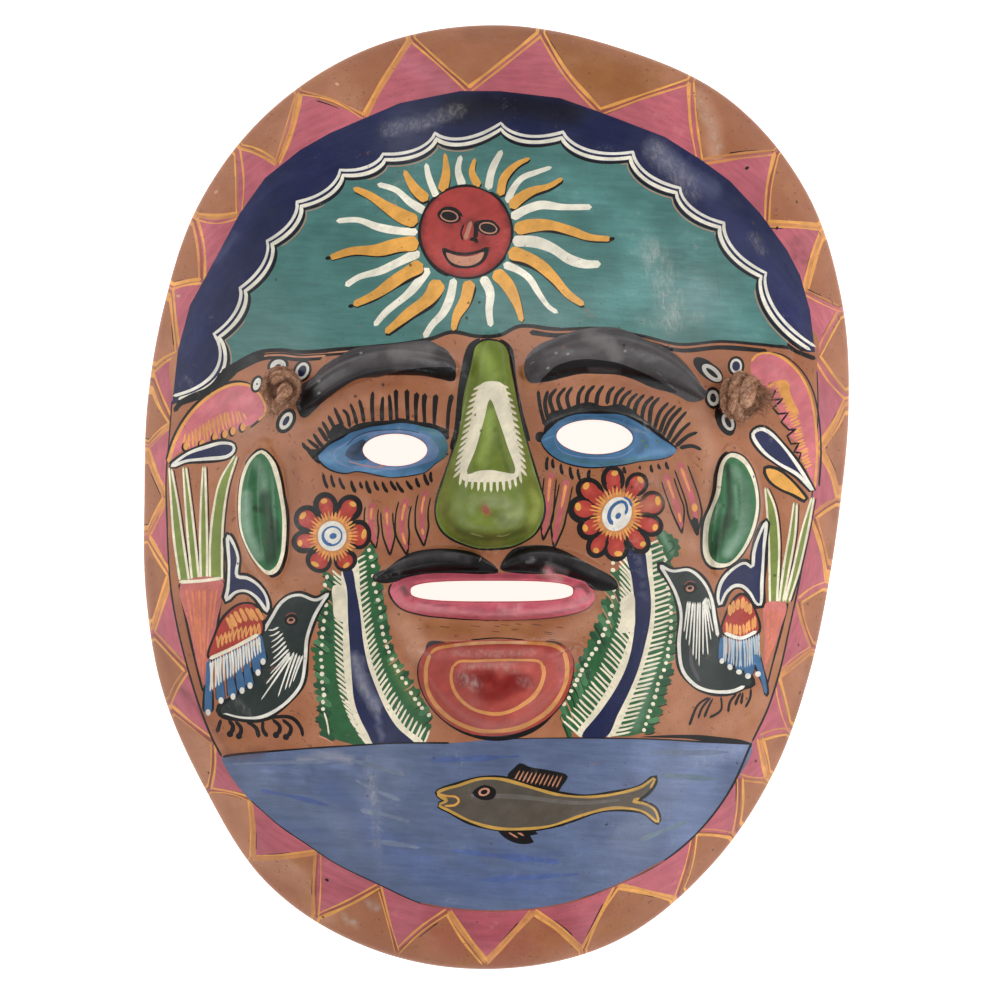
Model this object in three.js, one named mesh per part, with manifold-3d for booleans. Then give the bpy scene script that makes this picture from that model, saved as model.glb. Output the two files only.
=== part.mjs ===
// A painted terracotta wall mask, lying on its back rim with the face up, and the knotted
// twine that it hangs by. Millimetres. +Z points out of the face, +Y to the crown and +X to
// the viewer's right. The origin is on the table, under the middle of the rim.
//
// The clay is one pressed shell: a low cap over an egg-shaped rim, with a nose, brows,
// eyelids, lips, a moustache, ears and a chin raised on it, and the eyes, the mouth and two
// twine holes cut through.
import * as THREE from "three";
import { mergeVertices } from "three/addons/utils/BufferGeometryUtils.js";
import Module from "manifold-3d";

const wasm = await Module();
wasm.setup();

// The rim's radius every 15 degrees, anticlockwise from +X. It is hand cut, so it wavers.
const RIM_RADII = [
  111.4, 117.9, 128.7, 140.9, 148.9, 150.5, 152.5, 151, 144.9, 135.3, 124, 116.8,
  113.8, 117.4, 124.7, 133.2, 145.6, 151.6, 152.5, 148.7, 138, 126.4, 116.4, 111,
];
const RIM_STEP = (2 * Math.PI) / RIM_RADII.length;

// The shell: a cap that rises from an upright rim edge, with an even wall.
const CAP_HEIGHT = 54;
const CAP_FLATNESS = 1.15; // 1 is half an ellipsoid, and more is a flatter cap
const RIM_EDGE = 3.5;
const RIM_WIDTH = 8;
const WALL = 7.5;

// Openings, each a centre and its half length and half height in plan.
const EYE_HOLES = [
  { x: -32.8, y: 15.2, halfLength: 10.5, halfHeight: 5.3, turn: 0 },
  { x: 31.7, y: 19.4, halfLength: 12.4, halfHeight: 5.6, turn: -2 },
];
const MOUTH_HOLE = { x: -1.5, y: -30.4, halfLength: 26.2, halfHeight: 3.3 };

// The twine and the two holes that it comes through.
const TWINE_DIAMETER = 4;
const TWINE_HOLE_RADIUS = 2.8;
const TWINE_HOLES = { left: [-68.7, 33.9], right: [76.1, 31] };
const KNOT_RADIUS = 7.4;
const PIECE_GAP = 0.3;
// Where the twine runs between the two holes, behind the brow. It drops to the table and
// lies there in a slack bow, clear of the eyes.
const TWINE_SLACK = [
  [-60.5, 32.5, 26], [-59.5, 36, 15.5], [-56, 42.5, 6.2], [-49, 51, 2.6], [-38, 60, 2.2],
  [-21, 67.5, 2.2], [1, 70, 2.2], [23, 68, 2.2], [42, 60, 2.2], [55, 50.5, 2.6],
  [63, 41.5, 6.2], [67.4, 34.5, 15.5], [68.8, 30, 26],
];

// Raised forms. Each follows a line in plan: four points of a Bezier curve, from its start
// at 0 to its end at 1. halfWidth and height are stations [place along the line, size].
const BROW_HEIGHT = [[0, 2.4], [0.1, 4], [0.5, 5.2], [0.9, 4.2], [1, 2.6]];
const LID_HEIGHT = [[0, 1], [0.3, 3.2], [0.7, 3.2], [1, 1.2]];
const EAR_WIDTH = [[0, 2.6], [0.08, 5.2], [0.22, 7.4], [0.5, 8.5], [0.78, 7.6], [0.93, 5], [1, 2.6]];
const EAR_HEIGHT = [[0, 2], [0.2, 5.2], [0.8, 5.2], [1, 2]];
const MOUSTACHE_HEIGHT = [[0, 1.4], [0.25, 3.3], [0.6, 3.4], [1, 1]];
const NOSE = {
  line: [[-1.2, 50.8], [-1.2, 30], [-2.2, 6], [-2.2, -16.4]],
  halfWidth: [[0, 3], [0.04, 5.3], [0.19, 7.4], [0.41, 10], [0.62, 13.8], [0.79, 17.4], [0.87, 16.6], [0.95, 12], [1, 3.5]],
  height: [[0, 3], [0.08, 6.2], [0.3, 10], [0.55, 14.6], [0.76, 20.5], [0.85, 21.6], [0.91, 19], [0.96, 11.5], [1, 2.4]],
  section: [[0, 2], [0.5, 1.6], [0.8, 1.8], [1, 2.4]],
  steps: [20, 10],
};
const BROWS = [
  {
    line: [[-62.5, 29.5], [-50, 44], [-33, 47], [-14.4, 41.2]],
    halfWidth: [[0, 2], [0.08, 3.8], [0.35, 4.9], [0.8, 4.7], [0.95, 4.2], [1, 3]],
    height: BROW_HEIGHT,
    section: 2.4,
    steps: [16, 6],
  },
  {
    line: [[10.6, 40.4], [30, 51], [52, 49], [69, 31.2]],
    halfWidth: [[0, 3.2], [0.06, 4.4], [0.42, 6.8], [0.75, 5.2], [1, 1.4]],
    height: BROW_HEIGHT,
    section: 2.4,
    steps: [16, 6],
  },
];
// Almonds round the eye openings
const LIDS = [
  {
    line: [[-59, 12.2], [-48, 13.6], [-30, 15.4], [-15, 18]],
    halfWidth: [[0, 0.8], [0.2, 5.4], [0.45, 8.5], [0.7, 8.9], [0.92, 6.2], [1, 3.4]],
    height: LID_HEIGHT,
    section: 3,
    steps: [14, 6],
  },
  {
    line: [[14, 17.6], [26, 20.4], [44, 19], [58.6, 14.5]],
    halfWidth: [[0, 2.6], [0.1, 5.8], [0.4, 8.8], [0.65, 8], [0.85, 4.4], [1, 0.8]],
    height: LID_HEIGHT,
    section: 3,
    steps: [14, 6],
  },
];
const LIPS = {
  line: [[-34.6, -31], [-14, -32], [12, -32.4], [32, -32.6]],
  halfWidth: [[0, 2.6], [0.07, 5.4], [0.25, 7.4], [0.5, 8.2], [0.75, 7.6], [0.93, 5.4], [1, 2.6]],
  height: [[0, 1.8], [0.1, 4.2], [0.5, 5.2], [0.9, 4.2], [1, 1.8]],
  section: 2.8,
  steps: [18, 6],
};
const MOUSTACHE = [
  {
    line: [[0.2, -23.4], [-12, -17.5], [-28, -19], [-38.5, -26]],
    halfWidth: [[0, 0.8], [0.2, 3.4], [0.5, 4.3], [0.75, 3.6], [1, 0.8]],
    height: MOUSTACHE_HEIGHT,
    section: 2.4,
    steps: [12, 6],
  },
  {
    line: [[1.4, -23.2], [12, -15.5], [28, -21], [39.5, -29]],
    halfWidth: [[0, 0.8], [0.2, 3.2], [0.5, 4], [0.8, 3.4], [1, 0.8]],
    height: MOUSTACHE_HEIGHT,
    section: 2.4,
    steps: [12, 6],
  },
];
// Kidney shapes, each with a groove down it
const EARS = [
  {
    line: [[-75.2, 16.6], [-77, 2], [-76, -14], [-72.6, -27.4]],
    halfWidth: EAR_WIDTH,
    height: EAR_HEIGHT,
    section: 3.4,
    groove: { at: -0.12, width: 0.34, depth: 3.4 },
    steps: [14, 8],
  },
  {
    line: [[75.6, 15], [79.6, 0], [78, -10], [72, -23.4]],
    halfWidth: EAR_WIDTH,
    height: EAR_HEIGHT,
    section: 3.4,
    groove: { at: 0.15, width: 0.34, depth: 3.4 },
    steps: [14, 8],
  },
];
// A boss with a level top edge and a round lower one
const CHIN = {
  line: [[-25.8, -50.5], [-12, -66], [12, -66], [25.8, -50]],
  across: [0, 1],
  halfWidth: [[0, 3.5], [0.1, 8.5], [0.25, 13], [0.5, 15.8], [0.75, 13], [0.9, 8.5], [1, 3.5]],
  height: [[0, 2.4], [0.15, 6], [0.5, 9.6], [0.85, 6], [1, 2.4]],
  section: 2.2,
  steps: [14, 8],
};
const RELIEF = [NOSE, ...BROWS, ...LIDS, LIPS, ...MOUSTACHE, ...EARS, CHIN];
// The clay is pressed out behind the nose and the chin, so the wall stays even there.
const HOLLOWS = [
  {
    line: [[-1.4, 40], [-1.4, 24], [-2.2, 6], [-2.2, -11.5]],
    halfWidth: [[0, 2], [0.5, 5.4], [0.8, 9.6], [1, 5]],
    height: [[0, 2], [0.4, 8], [0.7, 14], [0.88, 15.5], [1, 6]],
    section: 2,
    steps: [10, 6],
  },
  {
    line: [[-17, -60.5], [-6, -61.5], [6, -61.5], [17, -60.5]],
    halfWidth: [[0, 3], [0.3, 8], [0.5, 9], [0.7, 8], [1, 3]],
    height: [[0, 1.5], [0.5, 6.5], [1, 1.5]],
    section: 2,
    steps: [8, 6],
  },
];
const SINK = 0.9; // how far a raised form's edge is pressed into the shell
const BURIED = 3.5;

const material = (color, roughness) => new THREE.MeshStandardMaterial({ color, roughness, metalness: 0 });
const TERRACOTTA = material(0xb0714a, 0.55);
const JUTE = material(0x8a6544, 0.95);

// A smooth curve through stations [place, value], as a function of the place.
function through(stations) {
  const slope = stations.map((_, i) => {
    const [x0, y0] = stations[Math.max(i - 1, 0)];
    const [x1, y1] = stations[Math.min(i + 1, stations.length - 1)];
    return (y1 - y0) / (x1 - x0);
  });
  return (x) => {
    let i = stations.findIndex(([place]) => place >= x);
    i = Math.min(Math.max(i < 0 ? stations.length - 1 : i, 1), stations.length - 1);
    const [x0, y0] = stations[i - 1];
    const [x1, y1] = stations[i];
    const t = (x - x0) / (x1 - x0);
    const bend0 = slope[i - 1] * (x1 - x0);
    const bend1 = slope[i] * (x1 - x0);
    return y0 * (1 + 2 * t) * (1 - t) ** 2 + y1 * t * t * (3 - 2 * t) + bend0 * t * (1 - t) ** 2 - bend1 * t * t * (1 - t);
  };
}

// The rim's radius at any angle: a closed Catmull-Rom curve through RIM_RADII.
function rimRadius(angle) {
  const count = RIM_RADII.length;
  const place = angle / RIM_STEP;
  const i = Math.floor(place);
  const t = place - i;
  const [a, b, c, d] = [-1, 0, 1, 2].map((k) => RIM_RADII[(((i + k) % count) + count) % count]);
  return b + 0.5 * t * (c - a + t * (2 * a - 5 * b + 4 * c - d + t * (3 * (b - c) + d - a)));
}

// The cap's profile: 1 at the middle and 0 at the rim, part of an ellipse in between.
function capProfile(share) {
  const edge = Math.sqrt(CAP_FLATNESS ** 2 - 1);
  return (Math.sqrt(Math.max(CAP_FLATNESS ** 2 - share ** 2, 0)) - edge) / (CAP_FLATNESS - edge);
}

function frontHeight(x, y) {
  return RIM_EDGE + CAP_HEIGHT * capProfile(Math.hypot(x, y) / rimRadius(Math.atan2(y, x)));
}

function backHeight(x, y) {
  const rim = rimRadius(Math.atan2(y, x)) - RIM_WIDTH;
  return (RIM_EDGE + CAP_HEIGHT - WALL) * capProfile(Math.min(Math.hypot(x, y) / rim, 1));
}

// A mesh with shared vertices, as a solid.
function solid(geometry) {
  const bare = geometry.index ? geometry.toNonIndexed() : geometry.clone();
  bare.deleteAttribute("normal");
  bare.deleteAttribute("uv");
  const merged = mergeVertices(bare, 1e-4);
  return new wasm.Manifold(
    new wasm.Mesh({
      numProp: 3,
      vertProperties: new Float32Array(merged.attributes.position.array),
      triVerts: new Uint32Array(merged.index.array),
    }),
  );
}

function geometryOf(made) {
  const mesh = made.getMesh();
  return new THREE.BufferGeometry()
    .setAttribute("position", new THREE.BufferAttribute(mesh.vertProperties, mesh.numProp))
    .setIndex(new THREE.BufferAttribute(mesh.triVerts, 1));
}

// A solid from rows of points and the quads between them.
function solidOf(points, quads) {
  const index = quads.flatMap(([a, b, c, d]) => (c === d ? [a, b, c] : [a, b, c, a, c, d]));
  return solid(new THREE.BufferGeometry().setAttribute("position", new THREE.Float32BufferAttribute(points.flat(), 3)).setIndex(index));
}

// A cap: rings of points from the rim to the middle, over a flat floor.
function capSolid(radiusAt, heightAt, floor, around, rings) {
  const points = [[0, 0, heightAt(0, 0)], [0, 0, floor]];
  const ring = (k, i) => 2 + k * around + (i % around);
  const quads = [];
  for (let k = 0; k <= rings; k++) {
    // The rings lie closer together towards the rim, where the cap is steepest.
    const share = k === rings ? 1 : Math.sin(((k + 1) / (rings + 1)) * (Math.PI / 2));
    for (let i = 0; i < around; i++) {
      const angle = (i / around) * 2 * Math.PI;
      const reach = radiusAt(angle) * (k === rings ? 1 : share);
      const [x, y] = [reach * Math.cos(angle), reach * Math.sin(angle)];
      points.push([x, y, heightAt(x, y)]);
    }
  }
  for (let i = 0; i < around; i++) {
    const angle = (i / around) * 2 * Math.PI;
    points.push([radiusAt(angle) * Math.cos(angle), radiusAt(angle) * Math.sin(angle), floor]);
  }
  for (let i = 0; i < around; i++) {
    quads.push([0, ring(0, i), ring(0, i + 1), ring(0, i + 1)]);
    for (let k = 0; k <= rings; k++) quads.push([ring(k, i), ring(k + 1, i), ring(k + 1, i + 1), ring(k, i + 1)]);
    quads.push([1, ring(rings + 1, i + 1), ring(rings + 1, i), ring(rings + 1, i)]);
  }
  return solidOf(points, quads);
}

// A form that lies along a line in plan, from a buried floor to a rounded back. Across it
// the height goes as (1 - |v|^section)^(1/section), less the groove, if it has one.
function form({ line, across: fixed, halfWidth, height, section, groove, steps }, base, buried) {
  const curve = new THREE.CubicBezierCurve(...line.map(([x, y]) => new THREE.Vector2(x, y)));
  const [widthAt, heightAt] = [through(halfWidth), through(height)];
  const sectionAt = Array.isArray(section) ? through(section) : () => section;
  const [along, across] = steps;
  const points = [];
  for (const side of [1, 0]) {
    for (let i = 0; i <= along; i++) {
      const u = i / along;
      const middle = curve.getPoint(u);
      const heading = curve.getTangent(u);
      const [sideX, sideY] = fixed ?? [-heading.y, heading.x];
      const power = sectionAt(u);
      for (let j = 0; j <= across; j++) {
        const v = -Math.cos((j / across) * Math.PI);
        const x = middle.x + sideX * v * widthAt(u);
        const y = middle.y + sideY * v * widthAt(u);
        const dip = groove ? groove.depth * Math.sin(Math.PI * u) * Math.exp(-(((v - groove.at) / groove.width) ** 2)) : 0;
        const raised = heightAt(u) * (1 - Math.abs(v) ** power) ** (1 / power) - dip - SINK;
        points.push([x, y, base(x, y) + (side ? raised : -buried)]);
      }
    }
  }
  const row = across + 1;
  const under = points.length / 2;
  const quads = [];
  for (let i = 0; i < along; i++) {
    for (let j = 0; j < across; j++) {
      const a = i * row + j;
      quads.push([a, a + row, a + row + 1, a + 1]);
      quads.push([under + a, under + a + 1, under + a + row + 1, under + a + row]);
    }
    const [near, far] = [i * row, i * row + across];
    quads.push([near, under + near, under + near + row, near + row]);
    quads.push([far, far + row, under + far + row, under + far]);
  }
  for (let j = 0; j < across; j++) {
    const end = along * row + j;
    quads.push([j, j + 1, under + j + 1, under + j]);
    quads.push([end, under + end, under + end + 1, end + 1]);
  }
  return solidOf(points, quads);
}

// An upright cutter of an oval plan, past both faces of the wall.
function ovalCutter({ x, y, halfLength, halfHeight, turn }, sides) {
  const shape = new THREE.Shape().absellipse(0, 0, halfLength, halfHeight, 0, 2 * Math.PI);
  const cutter = new THREE.ExtrudeGeometry(shape, { depth: 2 * CAP_HEIGHT, bevelEnabled: false, curveSegments: sides });
  return solid(cutter.rotateZ(THREE.MathUtils.degToRad(turn)).translate(x, y, 1));
}

// The mouth is a slot with round ends.
function slotCutter({ x, y, halfLength, halfHeight }) {
  const reach = halfLength - halfHeight;
  const shape = new THREE.Shape()
    .moveTo(-reach, -halfHeight)
    .lineTo(reach, -halfHeight)
    .absarc(reach, 0, halfHeight, -Math.PI / 2, Math.PI / 2)
    .lineTo(-reach, halfHeight)
    .absarc(-reach, 0, halfHeight, Math.PI / 2, 1.5 * Math.PI);
  const cutter = new THREE.ExtrudeGeometry(shape, { depth: 2 * CAP_HEIGHT, bevelEnabled: false, curveSegments: 6 });
  return solid(cutter.translate(x, y, 1));
}

// The point of the shell above a place in plan, and the way that the shell faces there.
function onShell([x, y]) {
  const step = 0.5;
  const slopeX = (frontHeight(x + step, y) - frontHeight(x - step, y)) / (2 * step);
  const slopeY = (frontHeight(x, y + step) - frontHeight(x, y - step)) / (2 * step);
  return {
    point: new THREE.Vector3(x, y, frontHeight(x, y)),
    outward: new THREE.Vector3(-slopeX, -slopeY, 1).normalize(),
  };
}

function twineHoleCutter(place) {
  const { point, outward } = onShell(place);
  const cutter = new THREE.CylinderGeometry(TWINE_HOLE_RADIUS, TWINE_HOLE_RADIUS, 4 * WALL, 14);
  cutter.applyQuaternion(new THREE.Quaternion().setFromUnitVectors(new THREE.Vector3(0, 1, 0), outward));
  return solid(cutter.translate(...point.toArray()));
}

function makeMask() {
  let clay = capSolid(rimRadius, frontHeight, 0, 64, 12);
  for (const raised of RELIEF) clay = clay.add(form(raised, frontHeight, BURIED));
  const inside = (angle) => rimRadius(angle) - RIM_WIDTH;
  clay = clay.subtract(capSolid(inside, backHeight, -5, 48, 8));
  for (const pressed of HOLLOWS) clay = clay.subtract(form(pressed, backHeight, WALL));
  for (const eye of EYE_HOLES) clay = clay.subtract(ovalCutter(eye, 12));
  clay = clay.subtract(slotCutter(MOUTH_HOLE));
  for (const place of Object.values(TWINE_HOLES)) clay = clay.subtract(twineHoleCutter(place));
  const mask = new THREE.Mesh(geometryOf(clay), TERRACOTTA);
  mask.name = "mask";
  return mask;
}

// An overhand knot pulled tight: a ball whose turns of twine bulge as they wind round it,
// with the twine's cut end standing out at its side.
function makeKnot(name, place, end) {
  const { point, outward } = onShell(place);
  const ball = new THREE.SphereGeometry(KNOT_RADIUS, 16, 10);
  const at = ball.attributes.position;
  const spot = new THREE.Vector3();
  for (let i = 0; i < at.count; i++) {
    spot.fromBufferAttribute(at, i);
    const turn = Math.atan2(spot.z, spot.x);
    const lift = spot.y / KNOT_RADIUS;
    const bulge = 0.07 * Math.sin(2 * turn + 3.6 * lift) * (Math.hypot(spot.x, spot.z) / KNOT_RADIUS);
    spot.multiplyScalar(1 + bulge);
    spot.y *= 0.86;
    at.setXYZ(i, spot.x, spot.y, spot.z);
  }
  ball.applyQuaternion(new THREE.Quaternion().setFromUnitVectors(new THREE.Vector3(0, 1, 0), outward));
  const height = KNOT_RADIUS * 0.86 + PIECE_GAP;
  const centre = point.clone().addScaledVector(outward, height);
  const way = new THREE.Vector3(...end.way).normalize();
  const stub = new THREE.CylinderGeometry(end.tip, TWINE_DIAMETER / 2, end.length, 8);
  stub.translate(0, end.length / 2, 0);
  stub.applyQuaternion(new THREE.Quaternion().setFromUnitVectors(new THREE.Vector3(0, 1, 0), way));
  stub.translate(...way.clone().multiplyScalar(KNOT_RADIUS * 0.45).toArray());
  const knot = new THREE.Mesh(geometryOf(solid(ball).add(solid(stub))), JUTE);
  knot.name = name;
  knot.position.copy(centre);
  return knot;
}

// The twine from one hole to the other, as a plain round tube.
function makeTwine() {
  const start = onShell(TWINE_HOLES.left);
  const finish = onShell(TWINE_HOLES.right);
  const inWall = (end, depth) => end.point.clone().addScaledVector(end.outward, -depth);
  const route = new THREE.CatmullRomCurve3(
    [
      inWall(start, 0),
      inWall(start, 4),
      inWall(start, WALL + 1.5),
      ...TWINE_SLACK.map((p) => new THREE.Vector3(...p)),
      inWall(finish, WALL + 1.5),
      inWall(finish, 4),
      inWall(finish, 0),
    ],
    false,
    "centripetal",
  );
  const round = new THREE.Shape();
  const sides = 8;
  for (let i = 0; i < sides; i++) {
    const turn = (i / sides) * 2 * Math.PI;
    const spot = [(TWINE_DIAMETER / 2) * Math.cos(turn), (TWINE_DIAMETER / 2) * Math.sin(turn)];
    if (i) round.lineTo(...spot);
    else round.moveTo(...spot);
  }
  const tube = new THREE.ExtrudeGeometry(round, { steps: 36, extrudePath: route, bevelEnabled: false });
  const twine = new THREE.Mesh(geometryOf(solid(tube)), JUTE);
  twine.name = "hanging_twine";
  return twine;
}

const group = new THREE.Group();
group.add(makeMask());
group.add(makeKnot("knot_left", TWINE_HOLES.left, { way: [-0.35, -0.75, 0.45], length: 7, tip: 1.6 }));
group.add(makeKnot("knot_right", TWINE_HOLES.right, { way: [0.85, -0.4, 0.25], length: 9, tip: 3 }));
group.add(makeTwine());

export default group;
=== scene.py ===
"""A painted terracotta wall mask, its knotted twine and the table that it lies on.

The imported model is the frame. The mask lies on its back rim with the face up: +Z is out of the
face, +Y is towards the crown and +X is the viewer's right. Lengths here are millimetres on the
mask, and MM turns them into Blender's metres where a mesh or an object is made.

The clay is a front surface and a back surface, each a height over the plan (x, y), joined round
the rim and through the openings. The painting is a list of flat shapes in plan, the last one on
top. Their outlines are edges of the front surface's triangles, so every triangle has one colour.
"""

import math

import bpy
import numpy as np
from mathutils.geometry import delaunay_2d_cdt
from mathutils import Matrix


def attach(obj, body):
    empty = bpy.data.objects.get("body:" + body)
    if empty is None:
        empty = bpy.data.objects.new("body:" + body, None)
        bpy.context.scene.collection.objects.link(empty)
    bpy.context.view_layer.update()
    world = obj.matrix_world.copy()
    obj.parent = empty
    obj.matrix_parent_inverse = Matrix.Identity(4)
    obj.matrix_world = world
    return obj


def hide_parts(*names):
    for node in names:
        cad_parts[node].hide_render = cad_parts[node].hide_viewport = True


bl_info = {
    "name": "Painted terracotta mask",
    "version": (1, 0, 0),
    "blender": (4, 5, 0),
    "location": "3D View > Sidebar > Terracotta mask",
    "description": "Builds a hand-painted terracotta wall mask with its knotted hanging twine",
    "category": "Add Mesh",
}

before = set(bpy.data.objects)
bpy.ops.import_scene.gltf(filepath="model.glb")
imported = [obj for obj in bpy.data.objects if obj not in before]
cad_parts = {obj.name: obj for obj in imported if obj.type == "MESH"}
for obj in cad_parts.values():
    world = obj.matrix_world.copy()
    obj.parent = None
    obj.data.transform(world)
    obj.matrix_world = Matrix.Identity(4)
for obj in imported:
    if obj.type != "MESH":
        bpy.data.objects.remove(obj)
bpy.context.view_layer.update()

MM = 0.001

# The rim's radius every 15 degrees, anticlockwise from +X
RIM_RADII = np.array(
    [111.4, 117.9, 128.7, 140.9, 148.9, 150.5, 152.5, 151, 144.9, 135.3, 124, 116.8]
    + [113.8, 117.4, 124.7, 133.2, 145.6, 151.6, 152.5, 148.7, 138, 126.4, 116.4, 111]
)
CAP_HEIGHT = 54.0
CAP_FLATNESS = 1.15
RIM_EDGE = 3.5
RIM_WIDTH = 8.0
WALL = 7.5
SINK = 0.9  # how far a raised form's foot is pressed into the cap

# Openings in plan: centre, half sizes, how square they are (2 is an oval) and their turn
OPENINGS = {
    "eye_left": ((-32.8, 15.2), (10.4, 5.2), 2.0, 0.0),
    "eye_right": ((31.7, 19.4), (12.3, 5.5), 2.0, -2.0),
    "mouth": ((-1.5, -30.4), (26.2, 3.3), 3.2, 0.0),
}
TWINE_HOLES = {"left": (-68.7, 33.9), "right": (76.1, 31.0)}
TWINE_HOLE_RADIUS = 2.8
# The twine's route between the holes, behind the brow, as in the solid model
TWINE_SLACK = [
    (-60.5, 32.5, 26), (-59.5, 36, 15.5), (-56, 42.5, 6.2), (-49, 51, 2.6), (-38, 60, 2.2),
    (-21, 67.5, 2.2), (1, 70, 2.2), (23, 68, 2.2), (42, 60, 2.2), (55, 50.5, 2.6),
    (63, 41.5, 6.2), (67.4, 34.5, 15.5), (68.8, 30, 26),
]
KNOT_RADIUS = 7.4
KNOT_GAP = 0.3
# The size of one of the photo's pixels, and the pixel at the frame's origin
PIXEL = 0.3231
PHOTO_MIDDLE = (496.5, 497.0)

# Raised forms. Each follows a Bezier line of four points in plan, with stations [place along,
# value] for its half width and height, and the power of its rounded section. "across" fixes the
# direction of its width, and "groove" is [place across, width, depth].
BROW_HEIGHT = [[0, 2.4], [0.1, 4], [0.5, 5.2], [0.9, 4.2], [1, 2.6]]
LID_HEIGHT = [[0, 1], [0.3, 3.2], [0.7, 3.2], [1, 1.2]]
EAR_WIDTH = [[0, 2.6], [0.08, 5.2], [0.22, 7.4], [0.5, 8.5], [0.78, 7.6], [0.93, 5], [1, 2.6]]
EAR_HEIGHT = [[0, 2], [0.2, 5.2], [0.8, 5.2], [1, 2]]
MOUSTACHE_HEIGHT = [[0, 1.4], [0.25, 3.3], [0.6, 3.4], [1, 1]]
RELIEF = {
    "nose": {
        "line": [(-1.2, 50.8), (-1.2, 30), (-2.2, 6), (-2.2, -16.4)],
        "half_width": [[0, 3], [0.04, 5.3], [0.19, 7.4], [0.41, 10], [0.62, 13.8], [0.79, 17.4]]
        + [[0.87, 16.6], [0.95, 12], [1, 3.5]],
        "height": [[0, 3], [0.08, 6.2], [0.3, 10], [0.55, 14.6], [0.76, 20.5], [0.85, 21.6]]
        + [[0.91, 19], [0.96, 11.5], [1, 2.4]],
        "section": 1.8,
    },
    "brow_left": {
        "line": [(-62.5, 29.5), (-50, 44), (-33, 47), (-14.4, 41.2)],
        "half_width": [[0, 2], [0.08, 3.8], [0.35, 4.9], [0.8, 4.7], [0.95, 4.2], [1, 3]],
        "height": BROW_HEIGHT,
        "section": 2.4,
    },
    "brow_right": {
        "line": [(10.6, 40.4), (30, 51), (52, 49), (69, 31.2)],
        "half_width": [[0, 3.2], [0.06, 4.4], [0.42, 6.8], [0.75, 5.2], [1, 1.4]],
        "height": BROW_HEIGHT,
        "section": 2.4,
    },
    "lid_left": {
        "line": [(-59, 12.2), (-48, 13.6), (-30, 15.4), (-15, 18)],
        "half_width": [[0, 0.8], [0.2, 5.4], [0.45, 8.5], [0.7, 8.9], [0.92, 6.2], [1, 3.4]],
        "height": LID_HEIGHT,
        "section": 3,
    },
    "lid_right": {
        "line": [(14, 17.6), (26, 20.4), (44, 19), (58.6, 14.5)],
        "half_width": [[0, 2.6], [0.1, 5.8], [0.4, 8.8], [0.65, 8], [0.85, 4.4], [1, 0.8]],
        "height": LID_HEIGHT,
        "section": 3,
    },
    "lips": {
        "line": [(-34.6, -31), (-14, -32), (12, -32.4), (32, -32.6)],
        "half_width": [[0, 2.6], [0.07, 5.4], [0.25, 7.4], [0.5, 8.2], [0.75, 7.6], [0.93, 5.4]]
        + [[1, 2.6]],
        "height": [[0, 1.8], [0.1, 4.2], [0.5, 5.2], [0.9, 4.2], [1, 1.8]],
        "section": 2.8,
    },
    "moustache_left": {
        "line": [(0.2, -23.4), (-12, -17.5), (-28, -19), (-38.5, -26)],
        "half_width": [[0, 0.8], [0.2, 3.4], [0.5, 4.3], [0.75, 3.6], [1, 0.8]],
        "height": MOUSTACHE_HEIGHT,
        "section": 2.4,
    },
    "moustache_right": {
        "line": [(1.4, -23.2), (12, -15.5), (28, -21), (39.5, -29)],
        "half_width": [[0, 0.8], [0.2, 3.2], [0.5, 4], [0.8, 3.4], [1, 0.8]],
        "height": MOUSTACHE_HEIGHT,
        "section": 2.4,
    },
    "ear_left": {
        "line": [(-75.2, 16.6), (-77, 2), (-76, -14), (-72.6, -27.4)],
        "half_width": EAR_WIDTH,
        "height": EAR_HEIGHT,
        "section": 3.4,
        "groove": [-0.12, 0.34, 3.4],
    },
    "ear_right": {
        "line": [(75.6, 15), (79.6, 0), (78, -10), (72, -23.4)],
        "half_width": EAR_WIDTH,
        "height": EAR_HEIGHT,
        "section": 3.4,
        "groove": [0.15, 0.34, 3.4],
    },
    "chin": {
        "line": [(-25.8, -50.5), (-12, -66), (12, -66), (25.8, -50)],
        "across": (0, 1),
        "half_width": [[0, 3.5], [0.1, 8.5], [0.25, 13], [0.5, 15.8], [0.75, 13], [0.9, 8.5]]
        + [[1, 3.5]],
        "height": [[0, 2.4], [0.15, 6], [0.5, 9.6], [0.85, 6], [1, 2.4]],
        "section": 2.2,
    },
}
# The clay is pressed out behind the nose and the chin, so the wall stays even there.
HOLLOWS = {
    "nose": {
        "line": [(-1.4, 40), (-1.4, 24), (-2.2, 6), (-2.2, -11.5)],
        "half_width": [[0, 2], [0.5, 5.4], [0.8, 9.6], [1, 5]],
        "height": [[0, 2], [0.4, 8], [0.7, 14], [0.88, 15.5], [1, 6]],
        "section": 2,
    },
    "chin": {
        "line": [(-17, -60.5), (-6, -61.5), (6, -61.5), (17, -60.5)],
        "half_width": [[0, 3], [0.3, 8], [0.5, 9], [0.7, 8], [1, 3]],
        "height": [[0, 1.5], [0.5, 6.5], [1, 1.5]],
        "section": 2,
    },
}
BACK_RISE = 50.0

FRONT_INSET = 1.3  # where the front surface ends and the rounded rim begins
BACK_INSET = 1.2
LIP = 0.8  # the rounding at the mouth of each opening
RIM_POINTS = 540
LATTICE = 1.7
FINE_LATTICE = 0.85
BACK_LATTICE = 2.6
STEP = 1.3  # the longest edge of a painted outline
CELL = 0.75  # the side of a cell of the grid that spreads the free points
CELLS = 431
SHARP_BEND = 0.16  # how curved the clay is, for each millimetre, where the fine lattice is used
MOST_TRIANGLES = 199000


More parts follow.
